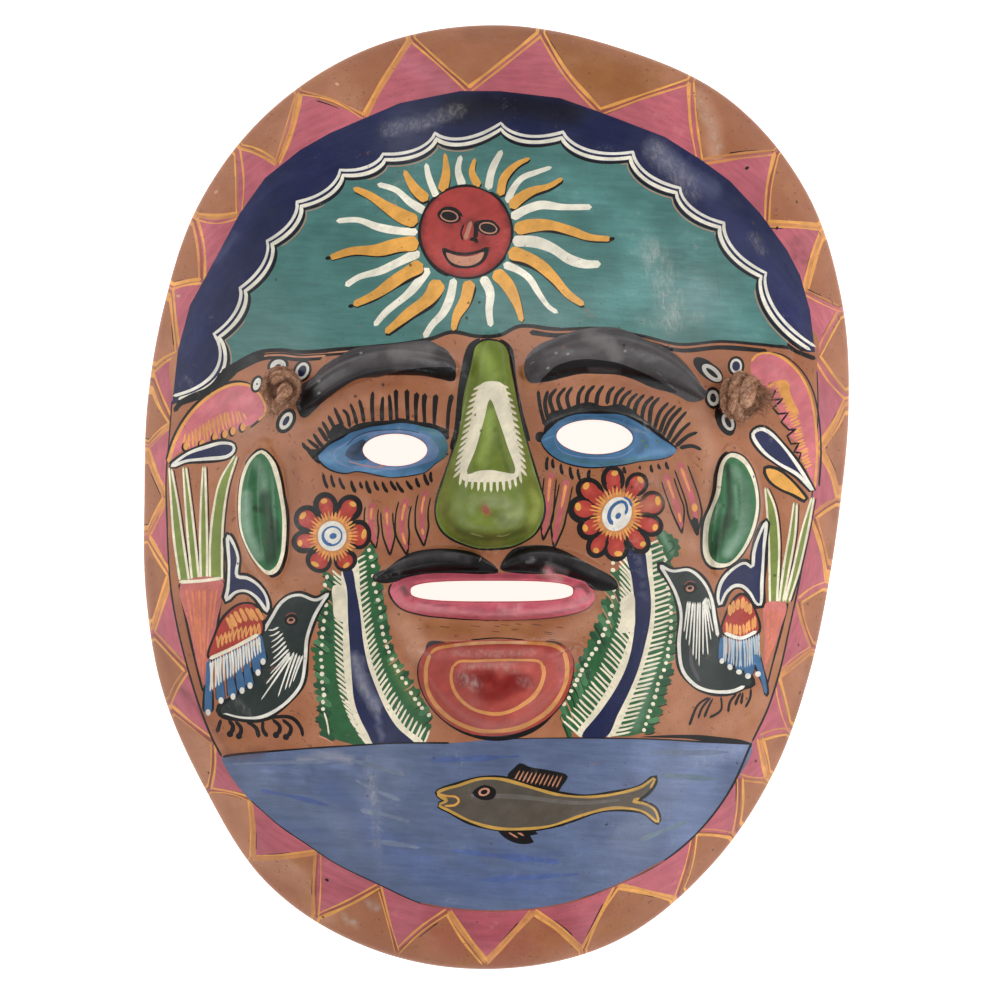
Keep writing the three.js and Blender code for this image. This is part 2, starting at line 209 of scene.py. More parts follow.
def through(stations, place):
    """A smooth curve through the stations: a cubic between each two, with the slope at a station
    being that of the line between its neighbours."""
    at, value = np.array(stations, float).T
    before = np.maximum(np.arange(len(at)) - 1, 0)
    after = np.minimum(np.arange(len(at)) + 1, len(at) - 1)
    slope = (value[after] - value[before]) / (at[after] - at[before])
    low = np.clip(np.searchsorted(at, place) - 1, 0, len(at) - 2)
    span = at[low + 1] - at[low]
    t = np.clip((place - at[low]) / span, 0, 1)
    rise = value[low] * (1 + 2 * t) * (1 - t) ** 2 + value[low + 1] * t**2 * (3 - 2 * t)
    return rise + span * t * (1 - t) * (slope[low] * (1 - t) - slope[low + 1] * t)


def rim_radius(angle):
    """The rim's radius at each angle: a closed smooth curve through RIM_RADII."""
    count = len(RIM_RADII)
    place = np.mod(angle / (2 * math.pi), 1.0) * count
    index = np.floor(place).astype(int)
    t = place - index
    a, b, c, d = (RIM_RADII[(index + step) % count] for step in (-1, 0, 1, 2))
    return b + 0.5 * t * (c - a + t * (2 * a - 5 * b + 4 * c - d + t * (3 * (b - c) + d - a)))


def cap_profile(share):
    """The height of the cap at a share of its radius: the top of a sphere, 1 high at its middle
    and 0 at the edge."""
    lowest = math.sqrt(CAP_FLATNESS**2 - 1)
    return (np.sqrt(CAP_FLATNESS**2 - share**2) - lowest) / (CAP_FLATNESS - lowest)


def bezier(line, places):
    """Points of a cubic Bezier curve at the places along it."""
    t = np.asarray(places, float)[:, None]
    a, b, c, d = np.array(line, float)
    return a * (1 - t) ** 3 + 3 * b * t * (1 - t) ** 2 + 3 * c * t**2 * (1 - t) + d * t**3


def raised_form(spec, x, y, sunk):
    """How far a form stands up at each (x, y), with a small fillet at its foot. The height along
    its line is multiplied by 1 - |v| ** power, where v is the distance from the line over the
    half width. Past either end the distance is measured from the end itself."""
    places = np.linspace(0, 1, 65)
    line = bezier(spec["line"], places)
    widths = through(spec["half_width"], places)
    reach = widths.max() + 4
    near = (x > line[:, 0].min() - reach) & (x < line[:, 0].max() + reach)
    near &= (y > line[:, 1].min() - reach) & (y < line[:, 1].max() + reach)
    result = np.zeros_like(x)
    if not near.any():
        return result
    px, py = x[near], y[near]
    if "across" in spec:
        u = np.interp(px, line[:, 0], places)
        side = py - np.interp(px, line[:, 0], line[:, 1])
        past = np.maximum(np.maximum(line[0, 0] - px, px - line[-1, 0]), 0)
    else:
        gaps = (px[:, None] - line[:, 0]) ** 2 + (py[:, None] - line[:, 1]) ** 2
        middle = np.clip(gaps.argmin(axis=1), 1, len(places) - 2)
        heading = line[middle + 1] - line[middle - 1]
        length = np.hypot(heading[:, 0], heading[:, 1])
        heading /= length[:, None]
        off = np.stack([px, py], 1) - line[middle]
        ahead = (off * heading).sum(1)
        u = places[middle] + ahead / length * (places[2] - places[0])
        side = off[:, 1] * heading[:, 0] - off[:, 0] * heading[:, 1]
        past = np.maximum(np.maximum(-u, u - 1), 0) * length / (places[2] - places[0])
        u = np.clip(u, 0, 1)
    width = through(spec["half_width"], u)
    v = np.hypot(side, past) / width
    power = 1.55 * spec["section"]
    height = through(spec["height"], u) * (1 - np.minimum(v, 1) ** power)
    if "groove" in spec:
        at, wide, deep = spec["groove"]
        height -= deep * np.sin(math.pi * u) * np.exp(-(((side / width - at) / wide) ** 2))
    height -= sunk + 1.6 * np.maximum(v - 1, 0) * width
    result[near] = 0.5 * (height + np.sqrt(height**2 + 0.5))
    return result


def together(forms, x, y, sunk):
    """Several forms as one surface: the sixth root of the sum of their sixth powers."""
    return sum(raised_form(spec, x, y, sunk) ** 6 for spec in forms.values()) ** (1 / 6)


def hand_made(x, y):
    """The slight unevenness of hand-pressed clay: a few long waves and some short ones."""
    long = np.sin(x / 17 + 1.3) * np.cos(y / 21 - 0.4) + 0.6 * np.sin((x + y) / 11 + 2)
    short = np.sin(x / 3.7 + 0.8 * np.sin(y / 6.1)) * np.sin(y / 4.3 + 1.1 * np.sin(x / 7.7))
    return 0.22 * long + 0.05 * short


def front_height(x, y):
    """The front: the cap over the rim's edge, with the raised forms on it."""
    share = np.minimum(np.hypot(x, y) / rim_radius(np.arctan2(y, x)), 1)
    cap = RIM_EDGE + CAP_HEIGHT * cap_profile(share)
    fade = np.clip((1 - share) / 0.1, 0, 1)
    return cap + together(RELIEF, x, y, SINK) + hand_made(x, y) * fade


def back_height(x, y):
    """The inside of the shell: a lower cap, pressed out behind the nose and the chin."""
    inner = rim_radius(np.arctan2(y, x)) - RIM_WIDTH
    share = np.minimum(np.hypot(x, y) / inner, 1)
    fade = np.clip((1 - share) / 0.15, 0, 1)
    waves = np.sin(x / 8.3 + 0.9 * np.sin(y / 13)) * np.sin(y / 9.1 + 1.2 * np.sin(x / 15))
    hollow = together(HOLLOWS, x, y, 0.3)
    return BACK_RISE * cap_profile(share) + hollow + (0.35 * waves + 1.4 * hand_made(x, y)) * fade


def up_from(height, x, y):
    """The unit normal of a height field, from its rise over half a millimetre each way."""
    step = 0.3
    slope_x = (height(x + step, y) - height(x - step, y)) / (2 * step)
    slope_y = (height(x, y + step) - height(x, y - step)) / (2 * step)
    normal = np.stack([-slope_x, -slope_y, np.ones_like(slope_x)], 1)
    return normal / np.linalg.norm(normal, axis=1)[:, None]


def opening_loop(name, grow, count):
    """An opening's outline in plan, a superellipse, as evenly spaced points."""
    (x, y), (half_length, half_height), power, turn = OPENINGS[name]
    angle = np.linspace(0, 2 * math.pi, 1440, endpoint=False)
    c, s = np.cos(angle), np.sin(angle)
    px = (half_length + grow) * np.sign(c) * np.abs(c) ** (2 / power)
    py = (half_height + grow) * np.sign(s) * np.abs(s) ** (2 / power)
    turn = math.radians(turn)
    loop = np.stack([px * math.cos(turn) - py * math.sin(turn) + x,
                     px * math.sin(turn) + py * math.cos(turn) + y], 1)
    walked = np.cumsum(np.hypot(*(np.roll(loop, -1, axis=0) - loop).T))
    picks = np.searchsorted(walked, np.linspace(0, walked[-1], count, endpoint=False))
    return loop[np.minimum(picks, len(loop) - 1)]


def round_loop(centre, radius, count):
    """A circle in plan."""
    angle = np.linspace(0, 2 * math.pi, count, endpoint=False)
    return np.stack([centre[0] + radius * np.cos(angle), centre[1] + radius * np.sin(angle)], 1)


def rim_loop(inset, count=RIM_POINTS):
    """The rim's outline in plan, drawn in by the inset."""
    angle = np.linspace(0, 2 * math.pi, count, endpoint=False)
    radius = rim_radius(angle) - inset
    return np.stack([radius * np.cos(angle), radius * np.sin(angle)], 1)


def lattice(spacing, half_width=116.0, half_height=155.0):
    """Points of a lattice of equal triangles over the mask."""
    rows = np.arange(-half_height, half_height, spacing * math.sqrt(3) / 2)
    columns = np.arange(-half_width, half_width, spacing)
    x = columns[None, :] + np.where(np.arange(len(rows)) % 2, spacing / 2, 0)[:, None]
    return np.stack([x.ravel(), np.repeat(rows, len(columns))], 1)


def inside(points, outline):
    """Which points lie inside a closed outline, by how often it winds round each."""
    low, high = outline.min(0), outline.max(0)
    result = np.zeros(len(points), bool)
    near = np.flatnonzero(((points >= low) & (points <= high)).all(1))
    if len(near) == 0:
        return result
    a, b = outline, np.roll(outline, -1, axis=0)
    winding = np.zeros(len(near), int)
    most = max(3000000 // len(outline), 1)
    for start in range(0, len(near), most):
        px, py = points[near[start:start + most]].T[:, :, None]
        up = (a[:, 1] <= py) & (b[:, 1] > py)
        down = (a[:, 1] > py) & (b[:, 1] <= py)
        left = (b[:, 0] - a[:, 0]) * (py - a[:, 1]) - (px - a[:, 0]) * (b[:, 1] - a[:, 1])
        winding[start:start + most] = (up & (left > 0)).sum(1) - (down & (left < 0)).sum(1)
    result[near] = winding != 0
    return result


def closed_edges(start, count):
    """The edges of a closed loop of points numbered from start."""
    index = np.arange(count)
    return np.stack([start + index, start + (index + 1) % count], 1)


def triangulate(loops, outlines, free):
    """The triangles in plan between the boundary loops, with every outline's edges among theirs.
    The first loop is the outer one and the others are openings."""
    parts, edges, total = [], [], 0
    for loop in list(loops) + list(outlines):
        parts.append(loop)
        edges.append(closed_edges(total, len(loop)))
        total += len(loop)
    parts.append(free)
    given = np.concatenate(parts)
    made = delaunay_2d_cdt(given.tolist(), np.concatenate(edges).tolist(), [], 0, 1e-5, True)
    points = np.array(made[0])
    faces = np.array(made[2], int)
    # Inside is judged on the same rounded numbers as the triangles are made from
    middles = points[faces].mean(1)
    rounded = [np.float32(loop).astype(float) for loop in loops]
    keep = inside(middles, rounded[0])
    for loop in rounded[1:]:
        keep &= ~inside(middles, loop)
    # The boundary's points are put back exactly, because the walls start and end on them
    origin = np.array([numbers[0] if numbers else -1 for numbers in made[3]])
    exact = (origin >= 0) & (origin < sum(map(len, loops)))
    points[exact] = given[origin[exact]]
    used, faces = np.unique(faces[keep], return_inverse=True)
    return points[used], faces.reshape(-1, 3)


def cells_of(points):
    """The row and column of each point in the square grid that tells which places are taken."""
    return tuple(np.clip(((points + (120, 160)) / CELL).astype(int), 0, CELLS - 1).T)


def grown(full):
    """The grid's taken cells and the four neighbours of each."""
    result = full.copy()
    for shift in ((1, 0), (-1, 0), (0, 1), (0, -1)):
        result |= np.roll(full, shift, axis=(0, 1))
    return result


def spread_points(loops, outlines):
    """Free points between the painted edges: a lattice, with a finer one where the clay bends
    sharply, and none close to an edge, where the outlines already have points."""
    full = np.zeros((CELLS, CELLS), bool)
    full[cells_of(np.concatenate(list(loops) + list(outlines)))] = True
    coarse, fine = lattice(LATTICE), lattice(FINE_LATTICE)
    x, y = fine.T
    step = 1.2
    here = front_height(x, y)
    bend = np.abs(front_height(x + step, y) + front_height(x - step, y) - 2 * here)
    bend = bend + np.abs(front_height(x, y + step) + front_height(x, y - step) - 2 * here)
    fine = fine[bend / step**2 > SHARP_BEND]
    close = grown(full)
    fine = fine[~full[cells_of(fine)]]
    full[cells_of(fine)] = True
    close |= grown(full)
    coarse = coarse[~close[cells_of(coarse)]]
    return np.concatenate([coarse, fine])


def boundary_chain(points, faces, loop):
    """The boundary vertices of a triangulation that lie along a loop, in order round it. Each is
    an end of an edge that only one triangle has."""
    edges = np.concatenate([faces[:, [0, 1]], faces[:, [1, 2]], faces[:, [2, 0]]])
    codes = edges[:, 0] * len(points) + edges[:, 1]
    back = edges[:, 1] * len(points) + edges[:, 0]
    single = edges[~np.isin(codes, back)]
    follows = dict(single.tolist())
    starts = np.unique(single)
    gaps = ((points[starts][:, None] - loop[None, :1]) ** 2).sum(2).min(1)
    here = starts[gaps.argmin()]
    chain = [int(here)]
    while follows[chain[-1]] != chain[0]:
        chain.append(follows[chain[-1]])
    return np.array(chain)


def on_photo(x, y):
    """The place on the mask, in millimetres, of a pixel of the photo."""
    return ((x - PHOTO_MIDDLE[0]) * PIXEL, (PHOTO_MIDDLE[1] - y) * PIXEL)


def px(*pixels):
    """Places on the mask, in millimetres, from x and y in the photo, one pair after another."""
    return [on_photo(x, y) for x, y in zip(pixels[::2], pixels[1::2])]


def dab(size):
    """A length in millimetres, from one in pixels."""
    return size * PIXEL


def cubics(run, lengths, count):
    """Centripetal cubics through a run of points, in plan or in space, count points for each step
    but the first and the last. lengths are how long the steps are. The slope at a point weighs
    the steps beside it by the root of their lengths."""
    a, b, c, d = run[:-3], run[1:-2], run[2:-1], run[3:]
    s0, s1, s2 = (span[:, None] ** 0.5 for span in (lengths[:-2], lengths[1:-1], lengths[2:]))
    leave = ((b - a) / s0 - (c - a) / (s0 + s1) + (c - b) / s1) * s1
    arrive = ((c - b) / s1 - (d - b) / (s1 + s2) + (d - c) / s2) * s1
    t = np.linspace(0, 1, count, endpoint=False)[None, :, None]
    b, c, leave, arrive = (v[:, None, :] for v in (b, c, leave, arrive))
    curve = b * (1 + 2 * t) * (1 - t) ** 2 + c * t**2 * (3 - 2 * t)
    curve = curve + leave * t * (1 - t) ** 2 - arrive * t**2 * (1 - t)
    return curve.reshape(-1, run.shape[1])


def smooth_line(points, spacing=0.9, closed=False):
    """Points at even spacing along a smooth curve through the given ones: centripetal cubics."""
    through_points = np.array(points, float)
    if len(through_points) < 3 and not closed:
        return sharp_line(points, spacing)
    if closed:
        run = np.concatenate([through_points[-1:], through_points, through_points[:2]])
    else:
        first = 2 * through_points[0] - through_points[1]
        last = 2 * through_points[-1] - through_points[-2]
        run = np.concatenate([[first], through_points, [last]])
    curve = cubics(run, np.maximum(np.hypot(*np.diff(run, axis=0).T), 1e-6), 12)
    if closed:
        return even_steps(np.concatenate([curve, curve[:1]]), spacing)[:-1]
    return even_steps(np.concatenate([curve, through_points[-1:]]), spacing)


def even_steps(points, spacing):
    """The same line with its points at even steps."""
    lengths = np.hypot(*np.diff(points, axis=0).T)
    walked = np.concatenate([[0], np.cumsum(lengths)])
    count = max(int(math.ceil(walked[-1] / spacing)), 1)
    at = np.linspace(0, walked[-1], count + 1)
    return np.stack([np.interp(at, walked, points[:, k]) for k in (0, 1)], 1)


def sharp_line(points, spacing=STEP, closed=False):
    """Straight runs between the given points, cut into steps, with every corner kept."""
    corners = np.array(points, float)
    if closed:
        corners = np.concatenate([corners, corners[:1]])
    runs = [even_steps(corners[k:k + 2], spacing)[:-1] for k in range(len(corners) - 1)]
    runs = np.concatenate(runs)
    return runs if closed else np.concatenate([runs, corners[-1:]])


def arc(centre, radius, start, end, count=9):
    """Points of an arc, between two angles in degrees."""
    angle = np.radians(np.linspace(start, end, count))
    wide, high = np.broadcast_to(radius, 2)
    return [(centre[0] + wide * math.cos(a), centre[1] + high * math.sin(a)) for a in angle]


def oval(centre, radii, turn=0.0, count=20):
    """A closed oval outline, turned by some degrees."""
    angle = np.linspace(0, 2 * math.pi, count, endpoint=False)
    wide, high = np.broadcast_to(radii, 2)
    c, s = math.cos(math.radians(turn)), math.sin(math.radians(turn))
    x, y = wide * np.cos(angle), high * np.sin(angle)
    return np.stack([centre[0] + x * c - y * s, centre[1] + x * s + y * c], 1)


def sideways(line):
    """The unit vector to the left of a line at each of its points."""
    ahead = np.gradient(line, axis=0)
    ahead /= np.maximum(np.hypot(*ahead.T), 1e-9)[:, None]
    return np.stack([-ahead[:, 1], ahead[:, 0]], 1)


class Painting:
    """Flat painted shapes in plan, in millimetres, the last one on top. Each is a closed outline
    with a colour name and the way that its brush strokes run."""

    def __init__(self, seed):
        self.random = np.random.default_rng(seed)
        self.outlines, self.colours, self.flows, self.tones = [], [], [], []
        self.softs = []

    def add(self, colour, outline, flow="free"):
        self.outlines.append(np.asarray(outline, float))
        self.colours.append(colour)
        self.flows.append(flow)
        self.tones.append(self.random.uniform(-1, 1))

    def fill(self, colour, points, flow="free", sharp=False):
        """A closed area, with a smooth or a straight-sided outline."""
        make = sharp_line if sharp else smooth_line
        self.add(colour, make(points, STEP, closed=True), flow)

    def blob(self, colour, centre, radii, turn=0.0):
        """A dot or an oval dab."""
        size = float(np.max(radii))
        count = int(np.clip(2 * math.pi * size / 0.7, 7, 60))
        self.add(colour, oval(centre, radii, turn, count))

    def stroke(self, colour, points, width, tips=(1, 1), sharp=False, swell=0.0, wander=0.12):
        """A brush stroke: a ribbon along a smooth line, with round ends. tips are the width at
        each end as a share, and swell is how much wider it is midway. The hand's wander makes the
        width drift along the stroke."""
        line = sharp_line(points) if sharp else smooth_line(points)
        if len(line) < 3:
            line = even_steps(line, np.hypot(*(line[-1] - line[0])) / 2.01)
        steps = np.hypot(*np.diff(line, axis=0).T)
        at = np.concatenate([[0], np.cumsum(steps)])
        share = at / at[-1]
        half = width / 2 * (tips[0] + (tips[1] - tips[0]) * share)
        half = half * (1 + swell * np.sin(math.pi * share))
        phase = self.random.uniform(0, 6.3, 2)
        half = half * (1 + wander * np.sin(at / 3.1 + phase[0]) * np.sin(at / 7.3 + phase[1]))
        from_end = np.minimum(at, at[-1] - at)
        cap = np.clip(from_end / np.maximum(half, 1e-6), 0, 1)
        half = np.maximum(half * np.sqrt(1 - (1 - cap) ** 2), 0.02)
        side = sideways(line) * half[:, None]
        self.add(colour, np.concatenate([line + side, (line - side)[::-1]]))

    def loop(self, colour, points, width, sharp=False):
        """A line painted round a closed outline."""
        make = sharp_line if sharp else smooth_line
        line = make(points, 1.0, closed=True)
        line = np.concatenate([line, line[:2]])
        phase = self.random.uniform(0, 6.3)
        half = width / 2 * (1 + 0.15 * np.sin(np.arange(len(line)) / 2.7 + phase))
        side = sideways(line) * half[:, None]
        self.add(colour, np.concatenate([line + side, (line - side)[::-1]]))

    def comb(self, colour, starts, ends, width, tips=(1, 0.45), bend=0.0, jitter=0.25):
        """A row of fine strokes from points of one line to points of another."""
        for start, end in zip(starts, ends):
            start, end = (np.array(p) + self.random.uniform(-jitter, jitter, 2) for p in (start, end))
            across = np.array([-(end - start)[1], (end - start)[0]])
            middle = (start + end) / 2 + across * (bend + self.random.uniform(-0.04, 0.04))
            self.stroke(colour, [start, middle, end], width, tips)

    def soft(self, colour, points, width, strength, over=None):
        """A soft-edged stroke, its width in pixels, mixed into the paints that over names or into
        all of them."""
        over = (over,) if isinstance(over, str) else over
        self.softs.append((colour, smooth_line(points, 0.8), width * PIXEL / 2, strength, over))

    def softs_over(self, over, rows):
        """Soft strokes over the same paint, each row with its colour, points, width and strength."""
        for colour, points, width, strength in rows:
            self.soft(colour, points, width, strength, over)

    def dots(self, colour, points, radius):
        """A row of dots made with the tip of the brush."""
        for point in points:
            size = radius * (1 + self.random.uniform(-0.15, 0.15, 2))
            self.blob(colour, point, size, self.random.uniform(0, 180))


def along(points, count, first=0.0, last=1.0):
    """Evenly spaced points of a smooth line, between two places along it."""
    line = smooth_line(points, 0.5)
    lengths = np.concatenate([[0], np.cumsum(np.hypot(*np.diff(line, axis=0).T))])
    at = lengths[-1] * np.linspace(first, last, count)
    return np.stack([np.interp(at, lengths, line[:, k]) for k in (0, 1)], 1)


# The zigzag of the border, from the top and clockwise, point at the rim and point inside by turns
ZIGZAG = px(411,38, 469,90, 541,33, 600,112, 691,81, 700,162, 777,152, 767,224, 824,228, 805,292, 842,310,
    817,357, 848,398, 820,448, 840,500, 814,517, 830,583, 799,601, 813,648, 777,677, 790,731, 760,738,
    769,780, 740,777, 735,836, 695,832, 676,900, 617,886, 583,951, 533,911, 485,963, 448,911, 397,952,
    379,886, 316,917, 318,852, 252,858, 250,799, 209,790, 213,742, 168,706, 187,670, 152,632, 170,575,
    147,536, 166,497, 146,448, 172,423, 151,373, 178,353, 171,287, 202,281, 194,216, 239,215, 237,146,
    277,164, 299,92, 364,117)
# The bare field of the face inside the border, down its left side, along the water and up its
# right side
FACE_LEFT = px(176,352, 172,400, 169,440, 166,480, 167,520, 168,550, 171,590, 177,625, 186,662, 199,705,
    212,738, 222,757)
WATER_EDGE = px(222,757, 230,775, 250,800, 280,826, 305,843, 335,863, 380,885, 420,903, 447,908, 490,911,
    533,909, 575,901, 617,885, 665,860, 700,830, 730,790, 752,742)
FACE_RIGHT = px(752,742, 768,708, 780,670, 790,625, 800,578, 807,535, 812,495, 816,450, 818,410, 817,370,
    813,330)
NAVY_TOP = px(172,405, 178,350, 190,305, 205,278, 220,250, 240,213, 265,178, 300,150, 330,133, 365,118,
    400,103, 460,91, 500,91, 560,98, 600,112, 665,137, 700,159, 730,181, 760,213, 787,250, 800,275, 810,310,
    815,352)
CUSPS = px(173,396, 214,334, 240,288, 267,241, 297,202, 340,170, 383,154, 435,133, 501,123, 563,132,
    633,152, 680,188, 724,223, 766,273, 816,347)
SKY_FOOT = px(221,373, 232,366, 260,352, 280,350, 300,352, 345,349, 400,344, 430,339, 452,332, 476,336,
    500,335, 520,326, 555,329, 600,328, 640,335, 680,344, 720,341, 760,344, 786,347)


def side_by_side(line, apart):
    """A line moved to its left by a distance."""
    return line + sideways(line) * apart


def festoon(cusps, drawn_in=0.0, sag=0.145):
    """Hanging arcs from cusp to cusp, all moved towards the middle of the sky by a distance. Each
    is a parabola that leans away from the top, drawn in at its deepest by a share of its chord,
    twice as much in the first."""
    cusps = np.array(cusps, float)
    cusps = side_by_side(cusps, -drawn_in)
    arcs = []
    for number, (start, end) in enumerate(zip(cusps[:-1], cusps[1:])):
        across = np.array([(end - start)[1], -(end - start)[0]])
        count = max(int(np.hypot(*across) / 1.1), 4)
        t = np.linspace(0, 1, count, endpoint=False)[:, None]
        deep = sag * (1 if number else 2)
        lean = t**0.8 if end[0] > 0 else 1 - (1 - t) ** 0.8
        arcs.append(start + (end - start) * t + across * deep * 4 * lean * (1 - lean))
    return np.concatenate(arcs + [cusps[-1:]])


def paint_border(paint):
    """Pink points between bare clay ones, edged with two orange lines and a touch of black."""
    paint.fill("pink", ZIGZAG, "round", sharp=True)
    for near, far in zip(ZIGZAG, ZIGZAG[1:] + ZIGZAG[:1]):
        near, far = np.array(near), np.array(far)
        across = np.array([-(far - near)[1], (far - near)[0]])
        bow = across * paint.random.normal(0, 0.025)
        line = smooth_line([near, (near + far) / 2 + bow, far], 1.2)
        apart = 0.65 + paint.random.uniform(0, 0.32)
        if paint.random.random() < 0.6:
            paint.stroke("rust", line, 0.97, (1, 0.5))
        if paint.random.random() < 0.6:
            shift = side_by_side(line, paint.random.choice([-1, 1]) * 1.16)
            first = int(len(line) * paint.random.uniform(0, 0.4))
            last = first + max(int(len(line) * paint.random.uniform(0.3, 0.55)), 4)
            if len(shift[first:last]) > 3:
                paint.stroke("black", shift[first:last], 0.65, (0.7, 0.3))
        if paint.random.random() < 0.4:
            paint.stroke("dull_orange", line, 2 * apart, (0.4, 1), wander=0.3)
        for way in (-1, 1):
            width = dab(paint.random.uniform(1.4, 3.2))
            shade = "orange" if paint.random.random() < 0.72 else "dull_orange"
            beside = side_by_side(line, way * apart)
            drift = np.linspace(0, math.pi, len(beside))[:, None]
            beside = beside + across / np.hypot(*across) * np.sin(drift) * paint.random.normal(0, 0.35)
            tips = paint.random.uniform(0.55, 1.3, 2)
            paint.stroke(shade, beside, width, tips, wander=0.35)


def paint_sky(paint):
    """A navy band with a double white festoon, over a teal sky. Black and clay lines edge it."""
    paint.fill("terracotta", FACE_LEFT + WATER_EDGE[1:] + FACE_RIGHT[1:], "level")
    paint.stroke("black", FACE_LEFT[1:], 0.71, (0.6, 1))
    paint.stroke("black", FACE_RIGHT[:-1], 0.71, (1, 0.5))
    navy = NAVY_TOP + [tuple(p) for p in festoon(CUSPS, 2.91)[::-1]]
    paint.fill("navy", navy, "round", sharp=True)
    foot = smooth_line(SKY_FOOT, 1.2)
    hanging = festoon(CUSPS, 3.75)
    paint.fill("black", np.concatenate([festoon(CUSPS, 2.91), (foot - (0, 0.65))[::-1]]),
               sharp=True)
    paint.fill("teal", np.concatenate([hanging[6:-6], foot[::-1]]), "level", sharp=True)
    clay = side_by_side(hanging, -0.39)
    for first, last in ((8, 30), (52, 70), (84, 118), (160, 196), (214, 262), (300, 330)):
        if len(clay[first:last]) > 8:
            paint.stroke("dusty_pink", clay[first:last], 0.55, (0.5, 0.5))
    inner, outer = festoon(CUSPS, 1.94), festoon(CUSPS)
    paint.stroke("ray_white", inner, 1.29, (0.9, 0.9), sharp=True)
    paint.stroke("white", outer, 1.07, (0.9, 0.9), sharp=True)
    # The foot of the sky: black, with a thread of clay in it on the left and above it on the right
    for colour, first, last, apart, width in (
        ("black", 0, 96, 0, 4.6),
        ("black", 90, 200, 0, 2.6),
        ("black", 3, 30, -6, 8),
        ("black", 27, 44, -4.4, 3),
        ("clay_line", 8, 31, -5, 2.2),
        ("clay_line", 30, 45, -2.4, 1.6),
        ("black", 86, len(foot) - 5, -6.4, 5.4),
    ):
        paint.stroke(colour, foot[first:last] + (0, dab(apart)), dab(width), (0.9, 0.8))
    paint.fill("black", px(212,392, 220,375, 240,359, 264,350, 264,357, 246,365, 230,380, 217,391))
    paint.stroke("black", px(768,346, 786,347, 800,353, 816,359), 1.94, (0.5, 0.8))
    paint.stroke("black", px(174,412, 180,404, 196,398, 212,391), 1.94, (0.9, 0.7))
    paint.stroke("black", px(176,404, 192,396, 207,390, 216,382, 222,372), 1.62, (0.8, 1))


def paint_water(paint):
    """The water under the chin, with a black line along its top."""
    top = px(222,757, 232,755, 300,749, 345,746, 400,743, 450,743, 500,739, 560,738, 650,739, 705,742,
        752,744)
    paint.fill("water", top + WATER_EDGE[::-1][1:-1], "level")
    for start, end, tone in WATER_STREAKS:
        middle = (np.array(start) + end) / 2 + (0, paint.random.uniform(-0.4, 0.4))
        width = paint.random.uniform(1.6, 3.4)
        paint.stroke(tone, [start, middle, end], width, (0.3, 0.3), swell=1.0, wander=0.5)
    paint.stroke("black", top[:6], 0.97, (0.8, 0.6), swell=-0.2)
    paint.stroke("black", top[6:], 0.71, (0.4, 0.8))
    paint.fill("black", px(640,737, 670,735, 700,735, 720,737, 742,740, 752,744, 735,743, 708,742, 690,739))
    paint.stroke("black", WATER_EDGE[2:9], 0.78, (0.4, 0.5))
    paint.stroke("black", WATER_EDGE[-6:], 0.78, (0.5, 1))
    paint.stroke("rust", WATER_EDGE[7:14], 1.1, (0.4, 0.4))


SUN = {"centre": (-9.9, 85.6), "radius": 14.54}
# The rays, clockwise from the top, a white one and a yellow one by turns: width, then the line
# from the sun to the tip
RAYS = (
    (7, px(488,190, 492,170, 502,150)),
    (11, px(500,196, 504,178, 516,165, 530,158)),
    (6, px(507,203, 513,189, 522,178, 537,172, 552,167)),
    (12, px(510,208, 519,199, 532,191, 549,186, 563,178)),
    (8, px(511,218, 525,210, 541,205, 562,207, 592,207)),
    (15, px(514,230, 529,226, 549,225, 569,230, 589,237, 611,239)),
    (11, px(512,241, 535,242, 552,248, 569,259, 585,264, 601,264)),
    (16, px(508,252, 526,257, 540,265, 555,279, 568,294, 584,305)),
    (6.5, px(503,264, 518,270, 529,278, 540,295, 549,307, 558,313)),
    (16, px(494,271, 507,284, 517,304, 522,322)),
    (8, px(482,276, 490,292, 489,311, 491,327)),
    (16, px(470,280, 465,301, 457,315, 453,331)),
    (8, px(454,278, 450,298, 443,313, 432,325, 424,338)),
    (18, px(440,280, 430,297, 408,314, 385,333)),
    (8, px(429,268, 410,292, 386,312, 374,326)),
    (17, px(423,264, 402,276, 376,294, 353,305)),
    (8, px(420,252, 399,262, 380,271, 359,277, 345,286)),
    (17, px(419,243, 398,245, 378,250, 352,251, 329,258)),
    (7, px(418,232, 400,231, 378,227, 358,220, 336,221)),
    (16, px(418,222, 404,217, 387,207, 369,195, 353,188)),
    (7, px(426,212, 410,202, 396,190, 377,184)),
    (13, px(428,200, 418,192, 411,183, 404,170)),
    (6, px(437,198, 429,178, 426,163)),
    (12, px(442,192, 446,174, 445,153)),
    (7, px(463,187, 458,170, 461,155)),
    (10, px(479,187, 472,172, 475,158)),
)


